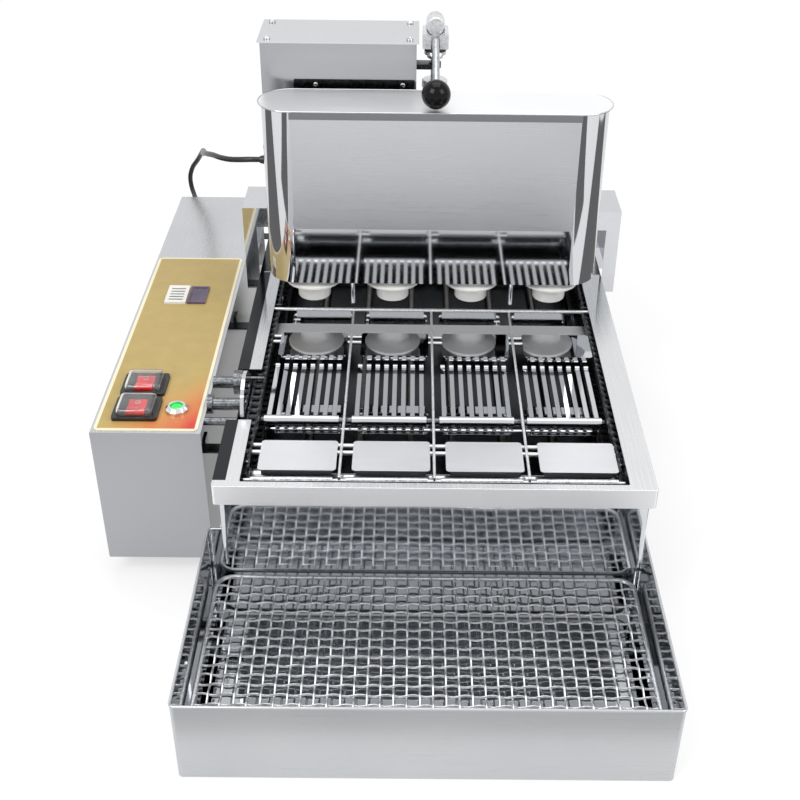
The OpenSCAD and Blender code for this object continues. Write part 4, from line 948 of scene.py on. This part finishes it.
def make_rod_guide():
    """Guide of the push rod: a flat bar from the drive housing and a bush round the rod."""
    low, high = box_mm("guide_bracket")
    inner_end, width = -4, 18
    bar = slab(((low[0] + inner_end) / 2, ROD_Y, low[2]), inner_end - low[0], width, 0.6, high[2] - low[2],
               0.4, 3)
    bush = turned(disc(7.2, 7.2, 0.4, 0.4), (0, ROD_Y, low[2]), (0, 0, 1), 28)
    make_piece("rod_guide", [bar, bush], body_of("guide_bracket"), finishes["black_oxide_steel"],
               ["guide_bracket"])


def hood_rings(width, length, radius, height, round_edge, wall):
    """Rings of a clear hood, from the middle of its underside down the inner wall, over the foot and up the
    outer wall to the middle of its top. The edges are quarter circles."""
    bend = np.linspace(0, np.pi / 2, 6)
    outer = [(round_edge * (1 - math.cos(a)), height - round_edge * (1 - math.sin(a))) for a in bend]
    inner = [(wall + inset, level - wall) for inset, level in outer[::-1]]
    middle = min(width, length) / 2 - 1
    rows = [(middle, height - wall + HOOD_CROWN)] + inner + [(wall, 0.0), (0.0, 0.0)] + outer
    return inset_rings(width, length, radius, rows + [(middle, height + HOOD_CROWN)], 0.6)


def make_switch_hoods():
    """Domed clear hoods over the two rockers, in millimetres."""
    low, high = box_mm("switch_covers")
    length, corner, edge, wall = 38.0, 5.0, 3.2, 1.2
    rings = hood_rings(high[0] - low[0], length, corner, high[2] - low[2] - HOOD_CROWN, edge, wall)
    parts = []
    for node in ROCKERS:
        left, right = box_mm(node)
        centre = [(left[0] + right[0]) / 2, (left[1] + right[1]) / 2, low[2]]
        parts.append((rings + centre, grid_faces(1, *rings.shape[:2])))
    make_piece("switch_hoods", parts, body_of("switch_covers"), finishes["clear_polycarbonate"],
               ["switch_covers"])


def make_rocker_marks():
    """A ring and a bar moulded on each rocker for off and on: the ring is a tube round a circle."""
    turn = np.linspace(0, 2 * np.pi, 24, endpoint=False)
    ring_r, wire_r = 2.6, 0.35
    circle = np.stack([ring_r * np.cos(turn), ring_r * np.sin(turn), np.zeros(24)], -1)
    for node in ROCKERS:
        low, high = box_mm(node)
        x, y, top = (low[0] + high[0]) / 2, (low[1] + high[1]) / 2, high[2]
        ring = tube(circle + [x, y + 6.5, top - 1.6], wire_r, 6, closed=True)
        bar = slab((x, y - 6.0, top - 2.3), 1.0, 5.0, 0.4, 0.6, 0.2, 3)
        make_piece(node + "_marks", [ring, bar], body_of(node), finishes["white_abs"])


def make_button_lens():
    """Domed lens of the lit push button: a cylinder whose top edge turns into a low crown."""
    low, high = box_mm("push_button")
    radius, height, crown_h = (high[0] - low[0]) / 2, high[2] - low[2], 2.2
    bend = np.linspace(0, np.pi / 2, 8)
    crown = np.column_stack([radius * np.cos(bend), height - crown_h + crown_h * np.sin(bend)])
    profile = np.vstack([[[AXIS, 0], [radius, 0]], crown[:-1], [[AXIS, height]]])
    centre = [(low[0] + high[0]) / 2, (low[1] + high[1]) / 2, low[2]]
    make_piece("button_lens", [turned(profile, centre, (0, 0, 1), 40)], body_of("push_button"),
               finishes["green_polycarbonate"], ["push_button"])


def make_counter_wheels():
    """Dark number wheels in the counter's five windows: bars whose section is half an ellipse."""
    low, high = box_mm("counter_unit")
    x, y, z = (low[0] + high[0]) / 2, (low[1] + high[1]) / 2, high[2]
    half_w, half_l, rise, sunk, first, pitch = 8.8, 1.5, 1.2, 1.5, -14.5, 7
    angle = np.linspace(0, np.pi, 9)
    arc = np.column_stack([np.zeros(9), half_l * np.cos(angle), rise * np.sin(angle) - sunk])
    parts = []
    for i in range(5):
        row = y + first + pitch * i
        rings = np.stack([arc + [x + side, row, z] for side in (-half_w, half_w)])
        parts.append((rings, grid_faces(1, 2, 9)))
    make_piece("counter_wheels", parts, body_of("counter_unit"), finishes["black_abs"])


# ---- operators, one for each piece or group of like pieces ----


class FryerStage(bpy.types.Operator):
    """Set up the camera, the floor and the lamps"""

    bl_idname = "fryer.stage"
    bl_label = "Stage"

    def execute(self, context):
        make_stage()
        return {"FINISHED"}


class FryerFinishes(bpy.types.Operator):
    """Make the finishes and give them to the frame's nodes"""

    bl_idname = "fryer.finishes"
    bl_label = "Finishes"

    def execute(self, context):
        make_finishes()
        paint_cad()
        return {"FINISHED"}


class FryerMotorCable(bpy.types.Operator):
    """Make the cable from the drive housing to the control box"""

    bl_idname = "fryer.motor_cable"
    bl_label = "Motor cable"

    def execute(self, context):
        make_motor_cable()
        return {"FINISHED"}


class FryerTray(bpy.types.Operator):
    """Make the woven rack and the tray's rolled edge"""

    bl_idname = "fryer.tray"
    bl_label = "Tray and rack"

    def execute(self, context):
        make_mesh_rack()
        make_tray_hem()
        return {"FINISHED"}


class FryerHopperTrim(bpy.types.Operator):
    """Make the lid's bead and the hopper's studs"""

    bl_idname = "fryer.hopper_trim"
    bl_label = "Hopper trim"

    def execute(self, context):
        make_hopper_trim()
        return {"FINISHED"}


class FryerNozzles(bpy.types.Operator):
    """Make the four dosing nozzles"""

    bl_idname = "fryer.nozzles"
    bl_label = "Nozzles"

    def execute(self, context):
        make_nozzles()
        return {"FINISHED"}


class FryerLever(bpy.types.Operator):
    """Make the clamp block, the lever's arm and the rod's guide"""

    bl_idname = "fryer.lever"
    bl_label = "Hand lever"

    def execute(self, context):
        make_clamp()
        make_lever_arm()
        make_rod_guide()
        return {"FINISHED"}


class FryerSwitches(bpy.types.Operator):
    """Make the switches' hoods and marks, the button's lens and the counter's wheels"""

    bl_idname = "fryer.switches"
    bl_label = "Switches and counter"

    def execute(self, context):
        make_switch_hoods()
        make_rocker_marks()
        make_button_lens()
        make_counter_wheels()
        return {"FINISHED"}


class FryerScrews(bpy.types.Operator):
    """Make the screws and the black strip of painted shadow on the drive housing"""

    bl_idname = "fryer.screws"
    bl_label = "Screws"

    def execute(self, context):
        make_cover_screws()
        make_housing_shadow_strip()
        return {"FINISHED"}


OPERATORS = [FryerStage, FryerFinishes, FryerMotorCable, FryerTray, FryerHopperTrim, FryerNozzles, FryerLever,
             FryerSwitches, FryerScrews]


class FryerPanel(bpy.types.Panel):
    """Lists the fryer's pieces"""

    bl_idname = "VIEW3D_PT_fryer"
    bl_label = "Fryer"
    bl_space_type = "VIEW_3D"
    bl_region_type = "UI"
    bl_category = "Fryer"

    def draw(self, context):
        for group in (context.scene.fryer_sizes, context.scene.fryer_colours):
            for name in group.__annotations__:
                self.layout.prop(group, name)
        for operator in OPERATORS:
            self.layout.operator(operator.bl_idname)


CLASSES = [FryerSizes, FryerColours, *OPERATORS, FryerPanel]


def register():
    """Registers the classes and hangs the sizes and colours on the scene."""
    for cls in CLASSES:
        bpy.utils.register_class(cls)
    bpy.types.Scene.fryer_sizes = PointerProperty(type=FryerSizes)
    bpy.types.Scene.fryer_colours = PointerProperty(type=FryerColours)


def unregister():
    """Takes the sizes, the colours and the classes away again."""
    del bpy.types.Scene.fryer_sizes
    del bpy.types.Scene.fryer_colours
    for cls in reversed(CLASSES):
        bpy.utils.unregister_class(cls)


def main():
    register()
    for operator in OPERATORS:
        group, name = operator.bl_idname.split(".")
        getattr(getattr(bpy.ops, group), name)()


if __name__ == "__main__":
    main()
